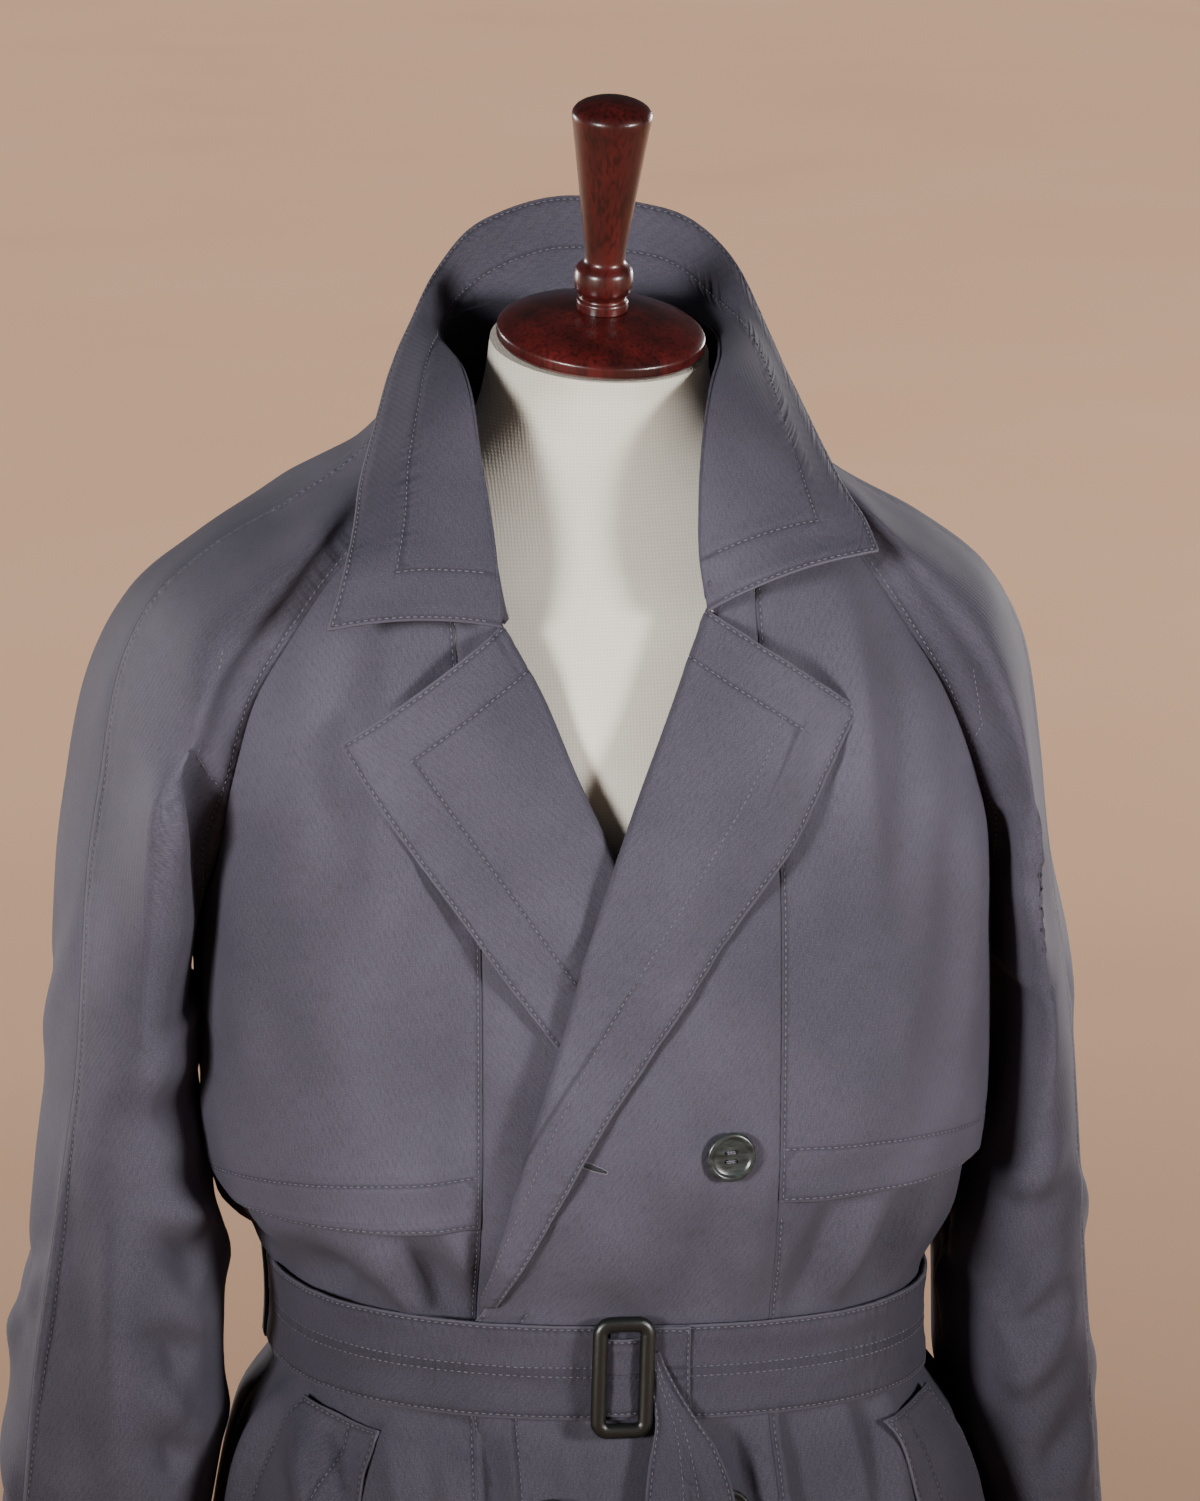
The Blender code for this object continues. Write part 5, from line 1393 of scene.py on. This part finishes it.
def on_cloth(points, x, z, out):
    """A point in front of a formed cloth at x and z, worked out from the cloth's nearest points."""
    away = np.hypot(points[:, 0] - x, points[:, 2] - z)
    weight = 1 / (away + 0.0005) ** 4
    return np.array((x, (weight * points[:, 1]).sum() / weight.sum() - out, z))


def sew_stay(side, formed, normals):
    """The line of stitches through the sleeve and the stay behind it."""
    points, ways = formed.reshape(-1, 3), normals.reshape(-1, 3)
    corners = [np.array((x * side, z)) for x, z in STAY_CORNERS[side]]
    path = [a + (b - a) * t for a, b in zip(corners, corners[1:]) for t in spread(0, 0.95, 12)]
    nearest = [int(np.argmin(np.hypot(points[:, 0] - x, points[:, 2] - z))) for x, z in path]
    line = np.array([on_cloth(points, x, z, 0.0) for x, z in path])
    sew(sided("sleeve_front", side), line, ways[nearest], np.ones(len(line), bool))


# The corners of the stay's stitch line: distance out and height.
STAY_CORNERS = {
    LEFT: ((0.1790, 1.318), (0.1860, 1.286), (0.1815, 1.272)),
    RIGHT: ((0.2050, 1.342), (0.2150, 1.300), (0.2178, 1.286), (0.2097, 1.272), (0.2010, 1.262)),
}
by_raglan, by_arm = SLEEVE_LINES
for side in (LEFT, RIGHT):
    for half in ("front", "back"):
        grid = [[stayed_point(side, at, over, half) for over in spread(0, 1, 41)]
                for at in spread(0, CUFF_ROW, 150)]
        grid = held_back(grid, first=-RAGLAN_TUCK, last=SEAM)
        seam_lines = {"low": (RAGLAN_TUCK + by_raglan,), "high": (by_arm,)} if half == "front" else {}
        formed, normals = cloth_piece(sided(f"sleeve_{half}", side), grid, "sleeve",
                                      {**seam_lines, "last": (HEM_TURN,)}, ("last",),
                                      flip=(half == "front") == (side == LEFT))
        if half == "front":
            sew_stay(side, formed, normals)
print_sizes("sleeve")

# %% [markdown]
# ## Collar
# The collar is a stand that goes up round the neck and a wide leaf that turns over it. Worn up at the back
# and open in front, the leaf rises behind the neck and falls into two points. Its rim has an edge line and
# a second line 28 mm inside.

# %% Collar
STAND_OUT, STAND_UP = 0.0004, 0.0009  # the stand starts this far outside and above the neckline
STAND_TUCK = 0.0012  # it reaches this far into both of its seams
STAND_END = 0.014  # and stops this far short of the collar's ends
LEAF_SHARES = (-0.02, 0, 0.03, 0.06, 0.09, 0.13, 0.18, 0.26, 0.36, 0.5, 0.62, 0.75, 0.88, 1.0)


def collar_rails(share):
    """Neck seam, crest and edge at a share of the collar's length, from the right notch to the left one."""
    side = RIGHT if share <= 0.5 else LEFT
    angle, z = row_at(NECKLINE, 1 - abs(2 * share - 1))
    neck = body(side, angle, z, STAND_OUT, folds=False)
    neck[2] += STAND_UP
    rails = row_at([*COLLAR[RIGHT], COLLAR_BACK, *COLLAR[LEFT][::-1]], share)
    return neck, rails[:3], rails[3:]


stand, leaf = [], []
for share in spread(0.0, 1.0, 141):
    neck, crest, edge = collar_rails(share)
    tuck = STAND_TUCK * (crest - neck) / np.linalg.norm(crest - neck)
    stand.append([neck - tuck + (crest - neck + 2 * tuck) * over for over in spread(0, 1, 9)])
    outward = abs(2 * share - 1)
    lifted = (crest + edge) / 2 + np.array(COLLAR_BULGE) * (0.3 + 0.7 * outward)
    leaf.append([(1 - over) ** 2 * crest + 2 * over * (1 - over) * lifted + over**2 * edge
                 for over in LEAF_SHARES])
stand = held_back(stand, low=STAND_END, high=STAND_END)
cloth_piece("collar_stand", stand, "collar", {"low": (STAND_LINE,)}, relief=False)
leaf_lines = {"high": (EDGE_LINE, LEAF_LINE), "first": (EDGE_LINE, LEAF_END_LINE),
              "last": (EDGE_LINE, LEAF_END_LINE)}
cloth_piece("collar", leaf, "collar", leaf_lines, tuple(leaf_lines), flip=True,
            lift=CLOTH)
print_sizes("collar")

# %% [markdown]
# ## Lapels
# A lapel is the front's own edge rolled open. The roll is soft and not pressed, so the cloth turns through
# a small radius before it lies on the chest, and it springs up a little towards its free edge.

# %% Lapels
LAPEL_SPRING = 0.0055  # how far the middle of its width stands up where it is free
LAPEL_FREE = {LEFT: (0.25, 0.7), RIGHT: (0.62, 0.9)}  # it comes free over these shares of its length
LAPEL_LIFT = {LEFT: 0.0, RIGHT: 0.0012}
OVER_FLAP = 0.0036  # it lies this much higher where the flap is under it
OVER_FLAP_FROM = (-0.035, 0.004)  # which begins over these distances from the front seam
ROLL_STRIP = 0.025  # the roll's columns are close over this width


def lapel_row(side, share, columns):
    """Points across a lapel: the leg turned in behind the front's edge, the roll, and the face."""
    roll_x, roll_z, edge_x, edge_z = row_at(LAPEL[side], share)
    way = np.array([edge_x - roll_x, edge_z - roll_z])
    width = float(np.linalg.norm(way))
    way /= width
    places = [(min(LAPEL_LEG, 0.6 * width), -LAPEL_ROLL)]
    for degrees in range(-90, 91, 15):
        t = math.radians(degrees)
        places.append((LAPEL_ROLL * (1 - math.cos(t)), LAPEL_ROLL * math.sin(t)))
    free = soft_step(share, *LAPEL_FREE[side])
    for across in columns:
        along = LAPEL_ROLL + (width - LAPEL_ROLL) * across
        x, z = roll_x + way[0] * along, roll_z + way[1] * along
        lift = OVER_FLAP * soft_step(side * (x - seam_x(side, z)), *OVER_FLAP_FROM) + LAPEL_LIFT[side] * free
        spring = LAPEL_SPRING * math.sin(math.pi * min(1.0, across * 1.02)) * free
        places.append((along, LAPEL_ROLL + lift + spring))
    return [chest(side, roll_x + way[0] * along, roll_z + way[1] * along, out) for along, out in places]


for side in (LEFT, RIGHT):
    grid = [lapel_row(side, share, spread(0.03, 1.0, 24)) for share in spread(0, 1, 120)]
    cloth_piece(sided("lapel", side), grid, "lapel",
                {"high": (EDGE_LINE, LEAF_LINE), "last": (EDGE_LINE, LEAF_END_LINE)}, ("high", "last"),
                flip=side == RIGHT, wall=LAPEL_CLOTH,
                dense=ROLL_STRIP)
print_sizes("lapel")

# %% [markdown]
# ## Belt
# The belt is two layers of cloth turned in and sewn flat: a line along each edge and a pair down the
# middle. It pulls the waist in. Its loose end comes through the buckle and hangs, folded narrow at the
# frame and opening below it.

# %% Belt
BELT_START = -3.6  # the angle where the band begins and ends, behind the buckle


def belt_point(turn, across, out):
    """Turn is the angle from centre front, positive to the wearer's left and past 180 round the back."""
    side = LEFT if turn % 360 <= 180 else RIGHT
    angle = turn % 360 if side == LEFT else 360 - turn % 360
    point = plain(side, angle, BELT_HEIGHT + (across - 0.5) * BELT_WIDTH, out)
    waist = plain(side, angle, BELT_HEIGHT, out)
    waist[2] = point[2]
    return BELT_FLARE * point + (1 - BELT_FLARE) * waist


belt_edges = (EDGE_LINE, BELT_LINE)
turns = spread(BELT_START, BELT_START + 359.2, 420)
band = [[belt_point(turn, over, BELT_OUT) for turn in turns] for over in spread(0, 1, 13)]
cloth_piece("belt", band, "belt", {"first": belt_edges, "last": belt_edges}, ("first", "last"),
            wall=BELT_CLOTH, material=belt_cloth)

# %% The belt's end
TAIL_TUCK_X, TAIL_TUCK_IN = 0.0046, 0.0014  # its top lies this much behind the buckle's bar
TAIL_TUCK_LONG = 0.24  # and comes out from there over this share of its length
tail = []
for share in spread(0, 1, 90):
    x, z, half, out = row_at(TAIL, share)
    tucked = 1 - soft_step(share, 0.0, TAIL_TUCK_LONG)
    x -= TAIL_TUCK_X * tucked
    out -= TAIL_TUCK_IN * tucked
    tail.append([chest(LEFT, x + half * over, z, out + TAIL_CROWN * (1 - over**2))
                 for over in spread(-1, 1, 15)])
cloth_piece("belt_tail", tail, "tail", {"low": belt_edges, "high": belt_edges}, ("low", "high", "last"),
            flip=True, wall=BELT_CLOTH, spacing=0.003,
            material=belt_cloth)

# %% The belt's loops
LOOP_ANGLES = (95.0, 101.0)
LOOP_OVER = 0.10  # it goes on past the belt by this share of the belt's width
LOOP_OUT, LOOP_SEWN_OUT = BELT_OUT + CLOTH + 0.0003, 0.0012  # over the belt, and where it is sewn down
for side in (LEFT, RIGHT):
    loop = []
    for over in spread(-LOOP_OVER, 1 + LOOP_OVER, 41):
        sewn = soft_step(abs(over - 0.5), 0.50, 0.56)
        out = LOOP_OUT * (1 - sewn) + LOOP_SEWN_OUT * sewn
        loop.append([belt_point(side * angle, over, out) for angle in spread(*LOOP_ANGLES, 7)])
    cloth_piece(sided("belt_loop", side), loop, "belt", {"low": (EDGE_LINE,), "high": (EDGE_LINE,)},
                ("low", "high"), flip=side == RIGHT, spacing=0.003, relief=False)
print_sizes("belt")

# %% [markdown]
# ## Buckle
# The buckle is a rounded oblong frame wrapped in leather. A rectangle with round corners is swept with an
# oval section, because wrapped leather has no sharp edge.

# %% Skins over rings
def circle(count):
    """Angles evenly round a circle."""
    return np.linspace(0, math.tau, count, endpoint=False)


def lofted(name, rings, cyclic=False):
    """A skin over rings of points: circles from the operator, moved into place and bridged."""
    bm = bmesh.new()
    loops = []
    for i, ring_points in enumerate(rings):
        capped = not cyclic and i in (0, len(rings) - 1)
        made = bmesh.ops.create_circle(bm, segments=len(ring_points), radius=1, cap_ends=capped)["verts"]
        for vert, point in zip(made, ring_points):
            vert.co = point
        edges = {edge for vert in made for edge in vert.link_edges if edge.other_vert(vert) in set(made)}
        loops.append(list(edges))
    for a, b in zip(loops, loops[1:] + loops[:1] if cyclic else loops[1:]):
        bmesh.ops.bridge_loops(bm, edges=a + b)
    bmesh.ops.recalc_face_normals(bm, faces=bm.faces)
    mesh = finished_mesh(bm, name)
    mesh.shade_smooth()
    mesh.set_sharp_from_angle(angle=math.radians(42))
    return mesh


# %% Buckle
BUCKLE_CORNER = 0.0055  # radius of the bar's middle line at the corners
BUCKLE_DEPTH = 0.0032  # half the bar's thickness from front to back


def buckle_rings():
    """The oval sections of the frame, corner by corner round it."""
    inner_x = BUCKLE_WIDTH / 2 - BUCKLE_BAR - BUCKLE_CORNER
    inner_z = BUCKLE_HEIGHT / 2 - BUCKLE_BAR - BUCKLE_CORNER
    middle = chest(LEFT, BUCKLE_X, BELT_HEIGHT, 0.0)
    place = Matrix.Translation((BUCKLE_X, middle[1] - BUCKLE_OUT, middle[2]))
    place = place @ Matrix.Rotation(BUCKLE_TURN, 4, "Y")
    rings = []
    for x_sign, z_sign, start in ((1, 1, 0), (-1, 1, 90), (-1, -1, 180), (1, -1, 270)):
        for step in range(9):
            a = math.radians(start + 90 * step / 8)
            outward = Vector((math.cos(a), 0, math.sin(a)))
            bar = Vector((x_sign * inner_x, 0, z_sign * inner_z)) + BUCKLE_CORNER * outward
            rings.append([place @ (bar + outward * (BUCKLE_BAR * math.cos(t))
                                   + Vector((0, BUCKLE_DEPTH * math.sin(t), 0))) for t in circle(16)])
    return rings


add_piece("buckle_leather_frame", lofted("buckle_leather_frame", buckle_rings(), True), buckle_leather,
          "buckle_leather", "buckle")

# %% [markdown]
# Fine dark stitches close the leather along the inner and the outer side of the frame. They follow the same
# sections, so they lie on the leather all the way round.

# %% Stitches round the buckle
frame_rings = [np.array([point[:] for point in points]) for points in buckle_rings()]
frame_rings.append(frame_rings[0])
middles = np.array([points.mean(axis=0) for points in frame_rings])
for spot in (-2, -6):  # the points of a section that face forward, outside and inside
    line = np.array([points[spot] for points in frame_rings])
    thread_paths.setdefault("buckle", []).append((line, line - middles))
print("buckle frame:", len(frame_rings) - 1, "sections")

# %% [markdown]
# ## Buttons
# A four-hole coat button is a turned disc: a flat back, a raised rim and a dished middle. Its profile is
# spun, and the holes are drilled with a Boolean. Two bars of thread cross the middle.

# %% Buttons
BUTTON_PROFILE = (
    # radius, height
    (0.0000, 0.0000), (0.0085, 0.0000), (0.0110, 0.0004), (0.0126, 0.0013), (BUTTON_RADIUS, 0.0024),
    (0.0128, 0.0034), (0.0120, 0.0041), (0.0111, BUTTON_THICK), (0.0103, 0.0039), (0.0097, 0.0032),
    (0.0091, 0.0028), (0.0060, 0.0026), (0.0000, 0.0025),
)
HOLE_OUT = 0.0024  # the holes' centres lie this far from the middle both ways
HOLE_RADIUS = 0.0011
BUTTON_OUT = 0.0016  # its back stands this far off the front, on its thread


def button_mesh(name, place):
    """The spun disc with its four holes, put in its place on the coat."""
    disc = bmesh.new()
    verts = [disc.verts.new((radius, 0, height)) for radius, height in BUTTON_PROFILE]
    edges = [disc.edges.new(pair) for pair in zip(verts, verts[1:])]
    bmesh.ops.spin(disc, geom=verts + edges, axis=(0, 0, 1), cent=(0, 0, 0), angle=math.tau, steps=48,
                   use_merge=True)
    bmesh.ops.remove_doubles(disc, verts=disc.verts, dist=0.00001)
    bmesh.ops.recalc_face_normals(disc, faces=disc.faces)
    drill = bmesh.new()
    for x in (-HOLE_OUT, HOLE_OUT):
        for y in (-HOLE_OUT, HOLE_OUT):
            bmesh.ops.create_cone(drill, cap_ends=True, segments=16, radius1=HOLE_RADIUS,
                                  radius2=HOLE_RADIUS, depth=0.01, matrix=Matrix.Translation((x, y, 0.002)))
    blank = bpy.data.objects.new("blank", finished_mesh(disc, name))
    tool = bpy.data.objects.new("drill", finished_mesh(drill, "drill"))
    for obj in (blank, tool):
        bpy.context.scene.collection.objects.link(obj)
    cut = blank.modifiers.new("holes", "BOOLEAN")
    cut.operation, cut.solver, cut.object = "DIFFERENCE", "EXACT", tool
    drilled = bpy.data.meshes.new_from_object(blank.evaluated_get(bpy.context.evaluated_depsgraph_get()))
    for obj in (blank, tool):
        bpy.data.objects.remove(obj)
    drilled.name = name
    drilled.transform(place)
    drilled.shade_smooth()
    drilled.set_sharp_from_angle(angle=math.radians(38))
    return drilled


BUTTON_DISH = 0.0027  # the thread crosses the dished middle at this height
THREAD_DIVE = 0.0012
THREAD_ASIDE = 0.00045
NEAR_BY = 0.004  # a button is turned to face as the cloth does over this distance
places = [(LEFT, BUTTON_ROWS[0])] + [(side, z) for z in BUTTON_ROWS[1:] for side in (LEFT, RIGHT)]
for number, (side, z) in enumerate(places, 1):
    x = BUTTON_COLUMNS[side]
    at, beside, above = (chest(LEFT, x + dx, z + dz, BUTTON_OUT)
                         for dx, dz in ((0, 0), (NEAR_BY, 0), (0, NEAR_BY)))
    right = (beside - at) / np.linalg.norm(beside - at)
    normal = np.cross(right, above - at)
    normal /= np.linalg.norm(normal)
    turn = np.eye(4)
    turn[:3, 0], turn[:3, 1], turn[:3, 2], turn[:3, 3] = right, np.cross(normal, right), normal, at
    place = Matrix(turn.tolist())
    name = f"button_{number}_resin"
    add_piece(name, button_mesh(name, place), button_resin, "button_horn", f"button_{number}")
    for y in (-HOLE_OUT, HOLE_OUT):  # two turns of thread from hole to hole, above and below the middle
        path = np.array([place @ Vector((dx, y, BUTTON_DISH)) for dx in (-HOLE_OUT, 0, HOLE_OUT)])
        path = np.vstack([path[:1] - normal * THREAD_DIVE, path, path[-1:] - normal * THREAD_DIVE])
        for shift in (-THREAD_ASIDE, THREAD_ASIDE):
            line = path + turn[:3, 1] * shift
            thread_paths.setdefault("buttons", []).append((line, np.tile(normal, (len(line), 1))))
print("buttons:", len(places))

# %% [markdown]
# ## Buttonhole and the fold round the buckle
# The buttonhole by the lapel is a slit bound with close stitches, which follow the formed cloth. The belt's
# fixed end goes round the buckle's bar and back, narrower inside the frame, and is sewn across where it ends.

# %% Buttonhole
HOLE_START, HOLE_END = (-0.0400, 1.0868), (-0.0215, 1.0792)
SLIT_OUT = 0.0002


def on_slit(share, aside=0.0):
    """A point on the left front at a share of the slit's length, and to one side of it."""
    x, z = (start + (end - start) * share for start, end in zip(HOLE_START, HOLE_END))
    return on_cloth(front_points[LEFT], x + 0.35 * aside, z + 0.94 * aside, SLIT_OUT)


# The thread goes round the slit: up one side and back down the other.
border = [(t, sign * (0.0009 + 0.0008 * math.sin(math.pi * t)))
          for sign, shares in ((1, spread(0, 1, 12)), (-1, spread(1, 0, 12))) for t in shares]
line = np.array([on_slit(share, aside) for share, aside in border])
thread_paths.setdefault("buttonhole", []).append((line, np.tile(np.array([0, -1.0, 0]), (len(line), 1))))
rings = []
for share in spread(0, 1, 12):
    radius = 0.0003 + 0.0008 * math.sin(math.pi * share)
    rings.append([Vector(on_slit(share)) + Vector((0, 0.35 * radius * math.sin(a), radius * math.cos(a)))
                  for a in circle(8)])
add_piece("buttonhole_slit", lofted("buttonhole_slit", rings), slit_shadow, "gabardine")

# %% Belt fold
FOLD_START, FOLD_END = BUCKLE_X - 0.0120, 0.0245
FRAME_FROM, FRAME_TO = BUCKLE_X + 0.0090, BUCKLE_X + 0.0165  # where the fold comes out of the frame
FOLD_WIDE = 0.985  # its width, as a share of the belt's
FOLD_NARROW = 0.16  # and how much narrower it is inside the frame
FOLD_DROP = 0.03
FOLD_OUT = 0.0014
FOLD_SWELL, FOLD_SWELL_LONG = 0.0032, 0.024  # it is fuller where it goes round the bar
rows = []
for over in spread(0, 1, 14):
    row = []
    for x in spread(FOLD_START, FOLD_END, 26):
        inside = 1 - soft_step(x, FRAME_FROM, FRAME_TO)
        across_belt = 0.5 + (over - 0.5) * (FOLD_WIDE - FOLD_NARROW * inside) - FOLD_DROP * inside
        swell = FOLD_SWELL * math.sin(math.pi * min(1.0, (x - FOLD_START) / FOLD_SWELL_LONG)) * inside
        row.append(belt_point(angle_of(LEFT, x, BELT_HEIGHT), across_belt, BELT_OUT + FOLD_OUT + swell))
    rows.append(row)
fold_lines = {"high": (FOLD_END_LINE,), "first": (EDGE_LINE, FOLD_LINE), "last": (EDGE_LINE, FOLD_LINE)}
cloth_piece("belt_fold", rows, "belt", fold_lines, tuple(fold_lines), spacing=0.003,
            material=belt_cloth, solid=False)
print_sizes("fold")

# %% [markdown]
# ## All the thread
# The lines gathered while the pieces were made become one mesh for each group. A grain has only twenty faces,
# because it is repeated thousands of times. That is the one place where faces are listed, as copies of it.

# %% Make the stitches
# Groups sewn by hand or with other thread: pitch, length, thickness.
DENSE = {
    "buttonhole": (0.0009, 0.0022, 0.0007),
    "buttons": (0.0014, 0.0024, 0.0009),
    "buckle": (0.0017, 0.0011, 0.0004),
}
stitch_total = 0
for group, lines in thread_paths.items():
    pitch, length, thick = DENSE.get(group, (STITCH_PITCH, STITCH_LENGTH, STITCH_THICK))
    points = np.vstack([sewn_line(path, normals, pitch, length, thick) for path, normals in lines])
    grains = len(points) // len(GRAIN_POINTS)
    stitch_total += grains
    faces = (GRAIN_FACES[None] + np.arange(grains)[:, None, None] * len(GRAIN_POINTS)).reshape(-1, 3)
    mesh = bpy.data.meshes.new(group + "_thread")
    mesh.from_pydata(points.tolist(), [], faces.tolist())
    mesh.shade_smooth()
    own = (buckle_thread, "buckle_leather") if group == "buckle" else (sewing_thread, "gabardine")
    add_piece(group + "_thread", mesh, *own)
print("stitches:", stitch_total)

# %% [markdown]
# ## Dress form and stand
# The form is a padded torso covered in cotton and cut flat under its turned wooden cap. Rings with soft
# corners are skinned over, and the cap, finial, pole and foot are turned on the same axis.

# %% Dress form
FORM_LEVELS = ((0.80, 1.20, 32), (1.20, 1.36, 20), (1.36, 1.476, 22))
NECK_TILT_FROM = (1.445, 1.476)  # its top is cut off along the cap's tilt, from these heights on


def form_ring(z):
    """A level ring of the form, which tips forward and aside near the top of its neck."""
    half, front, back, square, middle = smooth_through([r[0] for r in FORM], [r[1:] for r in FORM], z)
    points = []
    for a in circle(96):
        s, c = math.sin(a), math.cos(a)
        depth = front if c > 0 else back
        x = math.copysign(abs(s) ** (2 / square), s) * half
        y = middle - math.copysign(abs(c) ** (2 / square), c) * depth
        tipped = math.tan(NECK_TILT) * (y - NECK_TOP[1]) - math.tan(NECK_SIDE_TILT) * x
        points.append((x, y, z + tipped * soft_step(z, *NECK_TILT_FROM)))
    return points


cover = lofted("dress_form_cover", [form_ring(z) for z in stretches(*FORM_LEVELS)])
add_piece("dress_form_cover", cover, cover_cotton, "canvas", "dress_form")

# %% Turned cap and finial
def turned_rings(rows, count, place=Matrix()):
    """Level rings of these radii and heights round the axis, placed by a matrix."""
    return [[place @ Vector((radius * math.cos(a), radius * math.sin(a), height)) for a in circle(count)]
            for radius, height in rows]


for part, profile, side_tilt in (("neck_cap", NECK_CAP, NECK_SIDE_TILT),
                                 ("finial", FINIAL, FINIAL_SIDE_TILT)):
    place = Matrix.Translation(NECK_TOP) @ Matrix.Rotation(side_tilt, 4, "Y")
    place = place @ Matrix.Rotation(NECK_TILT, 4, "X")
    smooth_rows = [row_at(profile, share) for share in spread(0, 1, 4 * len(profile))]
    mesh = lofted(part + "_wood", turned_rings(smooth_rows, 64, place))
    add_piece(part + "_wood", mesh, stained_wood, "stained_wood", part)

# %% Steel stand
CLEAR = 0.0005  # the pole stops this far short of the plate and of the form
pole = ((POLE_RADIUS, BASE_THICK + CLEAR), (POLE_RADIUS, FORM[0][0] - CLEAR))
foot = ((BASE_RADIUS, 0.0), (BASE_RADIUS, 0.010), (BASE_RADIUS - 0.0012, 0.0128),
        (BASE_RADIUS - 0.004, BASE_THICK))
for part, profile in (("stand_pole", pole), ("stand_base", foot)):
    mesh = lofted(part + "_steel", turned_rings(profile, 96))
    add_piece(part + "_steel", mesh, powder_coat, "painted_steel", part)
print("pieces:", len(pieces))

# %% [markdown]
# ## Floor, light and camera
# The coat stands on a wide pale floor. Two soft lamps with grids stand well to the left and right in front,
# a little above the collar. A grid narrows the beam, so the chest is bright and the cuffs and hem fall into
# shade, and the raised collar shades its own inside. Two more light the back. Banks of lamps hang over the
# floor around it, because a narrow beam alone would leave the floor dark.

# %% Floor
FLOOR_REACH = 60.0
FLOOR_GLOW = 0.42  # stands for the light that many lamps round the set throw on the floor


def studio_paper():
    """Matt warm paper, very faintly clouded."""
    material, tree, shader = finish("matt_studio_paper", 0.9)
    place = node(tree, "TexCoord")
    cloud = node(tree, "TexNoise", (("Vector", place, "Object"),), Scale=1.2, Detail=2.0)
    tone = node(tree, "ValToRGB", ((0, cloud, "Fac"),), ((0.2, "C7A084"), (0.8, "CEA88D")))
    tree.links.new(tone.outputs[0], shader.inputs["Base Color"])
    tree.links.new(tone.outputs[0], shader.inputs["Emission Color"])
    shader.inputs["Emission Strength"].default_value = FLOOR_GLOW
    return material


def studio_floor():
    bm = bmesh.new()
    bmesh.ops.create_grid(bm, x_segments=1, y_segments=1, size=FLOOR_REACH)
    mesh = finished_mesh(bm, "studio_floor")
    mesh.materials.append(studio_paper())
    floor = bpy.data.objects.new("studio_floor", mesh)
    bpy.context.scene.collection.objects.link(floor)


studio_floor()

# %% Lamps
BANK_UP, BANK_SIZE = 6.0, 16.0
LAMP_WHITE, BANK_WHITE = "FFFDFA", "FFF6EC"


def lamp(name, place, target, size, power, spread_degrees, colour=LAMP_WHITE):
    """A rectangular soft lamp that looks at a target, with a grid that narrows its beam."""
    light = bpy.data.lights.new(name, "AREA")
    light.shape = "RECTANGLE"
    light.size, light.size_y = size
    light.energy = power
    light.color = linear(colour)[:3]
    light.spread = math.radians(spread_degrees)
    obj = bpy.data.objects.new(name, light)
    obj.location = place
    obj.rotation_euler = (Vector(target) - Vector(place)).to_track_quat("-Z", "Y").to_euler()
    bpy.context.scene.collection.objects.link(obj)


# name, place, target, width and height, watts, beam in degrees
for setting in (
    ("key_left", (-2.15, -2.20, 1.80), (0.02, 0, 1.25), (0.7, 0.7), 3.9, 23),
    ("fill_right", (2.20, -2.15, 1.80), (-0.02, 0, 1.25), (0.7, 0.7), 3.4, 23),
    ("rear_left", (-2.2, 2.4, 1.3), (0, 0, 0.95), (0.8, 1.2), 4.2, 34),
    ("rear_right", (2.2, 2.4, 1.3), (0, 0, 0.95), (0.8, 1.2), 4.2, 34),
):
    lamp(*setting)
# A bank of lamps over the floor on each side: X, Y, watts. Its beam is too narrow to reach the coat.
for name, x, y, power in (("bank_behind", -0.8, 11.0, 560), ("bank_left", -11.0, 0, 450),
                          ("bank_right", 11.0, 0, 450), ("bank_front", 0, -11.0, 300)):
    lamp(name, (x, y, BANK_UP), (x, y, 0), (BANK_SIZE, BANK_SIZE), power, 60, BANK_WHITE)
world = bpy.data.worlds.new("studio_air")
bpy.context.scene.world = world
world.use_nodes = True
air = world.node_tree.nodes["Background"]
air.inputs["Color"].default_value = linear("E8E6E4")
air.inputs["Strength"].default_value = 0.07
print("lamps:", len(bpy.data.lights))

# %% [markdown]
# ### Camera
# A long lens from a few metres away shows a garment without stretching what is near. The lens follows from
# the distance and from how much of the coat one pixel of the frame should show.

# %% Camera
CAMERA_TURN = math.radians(-10)
CAMERA_RISE = math.radians(13)
CAMERA_FAR = 3.4
CAMERA_TARGET = Vector((0.00212753, 0.0, 1.26092842))
FILM_HEIGHT = 36.0  # millimetres
FRAME_HEIGHT = 1501  # pixels
PIXEL = 0.00052  # what one of them shows at the coat's middle
camera_data = bpy.data.cameras.new("camera")
camera_data.sensor_fit = "VERTICAL"
camera_data.sensor_height = FILM_HEIGHT
camera_data.lens = FILM_HEIGHT * (CAMERA_FAR / PIXEL) / FRAME_HEIGHT
camera = bpy.data.objects.new("camera", camera_data)
level = math.cos(CAMERA_RISE)
back_way = Vector((math.sin(CAMERA_TURN) * level, -math.cos(CAMERA_TURN) * level, math.sin(CAMERA_RISE)))
camera.location = CAMERA_TARGET + CAMERA_FAR * back_way
camera.rotation_euler = (-back_way).to_track_quat("-Z", "Y").to_euler()
bpy.context.scene.collection.objects.link(camera)
bpy.context.scene.camera = camera

# %% [markdown]
# ## The flat sizes
# The flat width, length and area of every piece are printed. The dressed model has to
# keep to the frame's box, but for the height of a fold.

# %% Print the sizes
print("flat sizes (width, length, area):", flat_sizes)
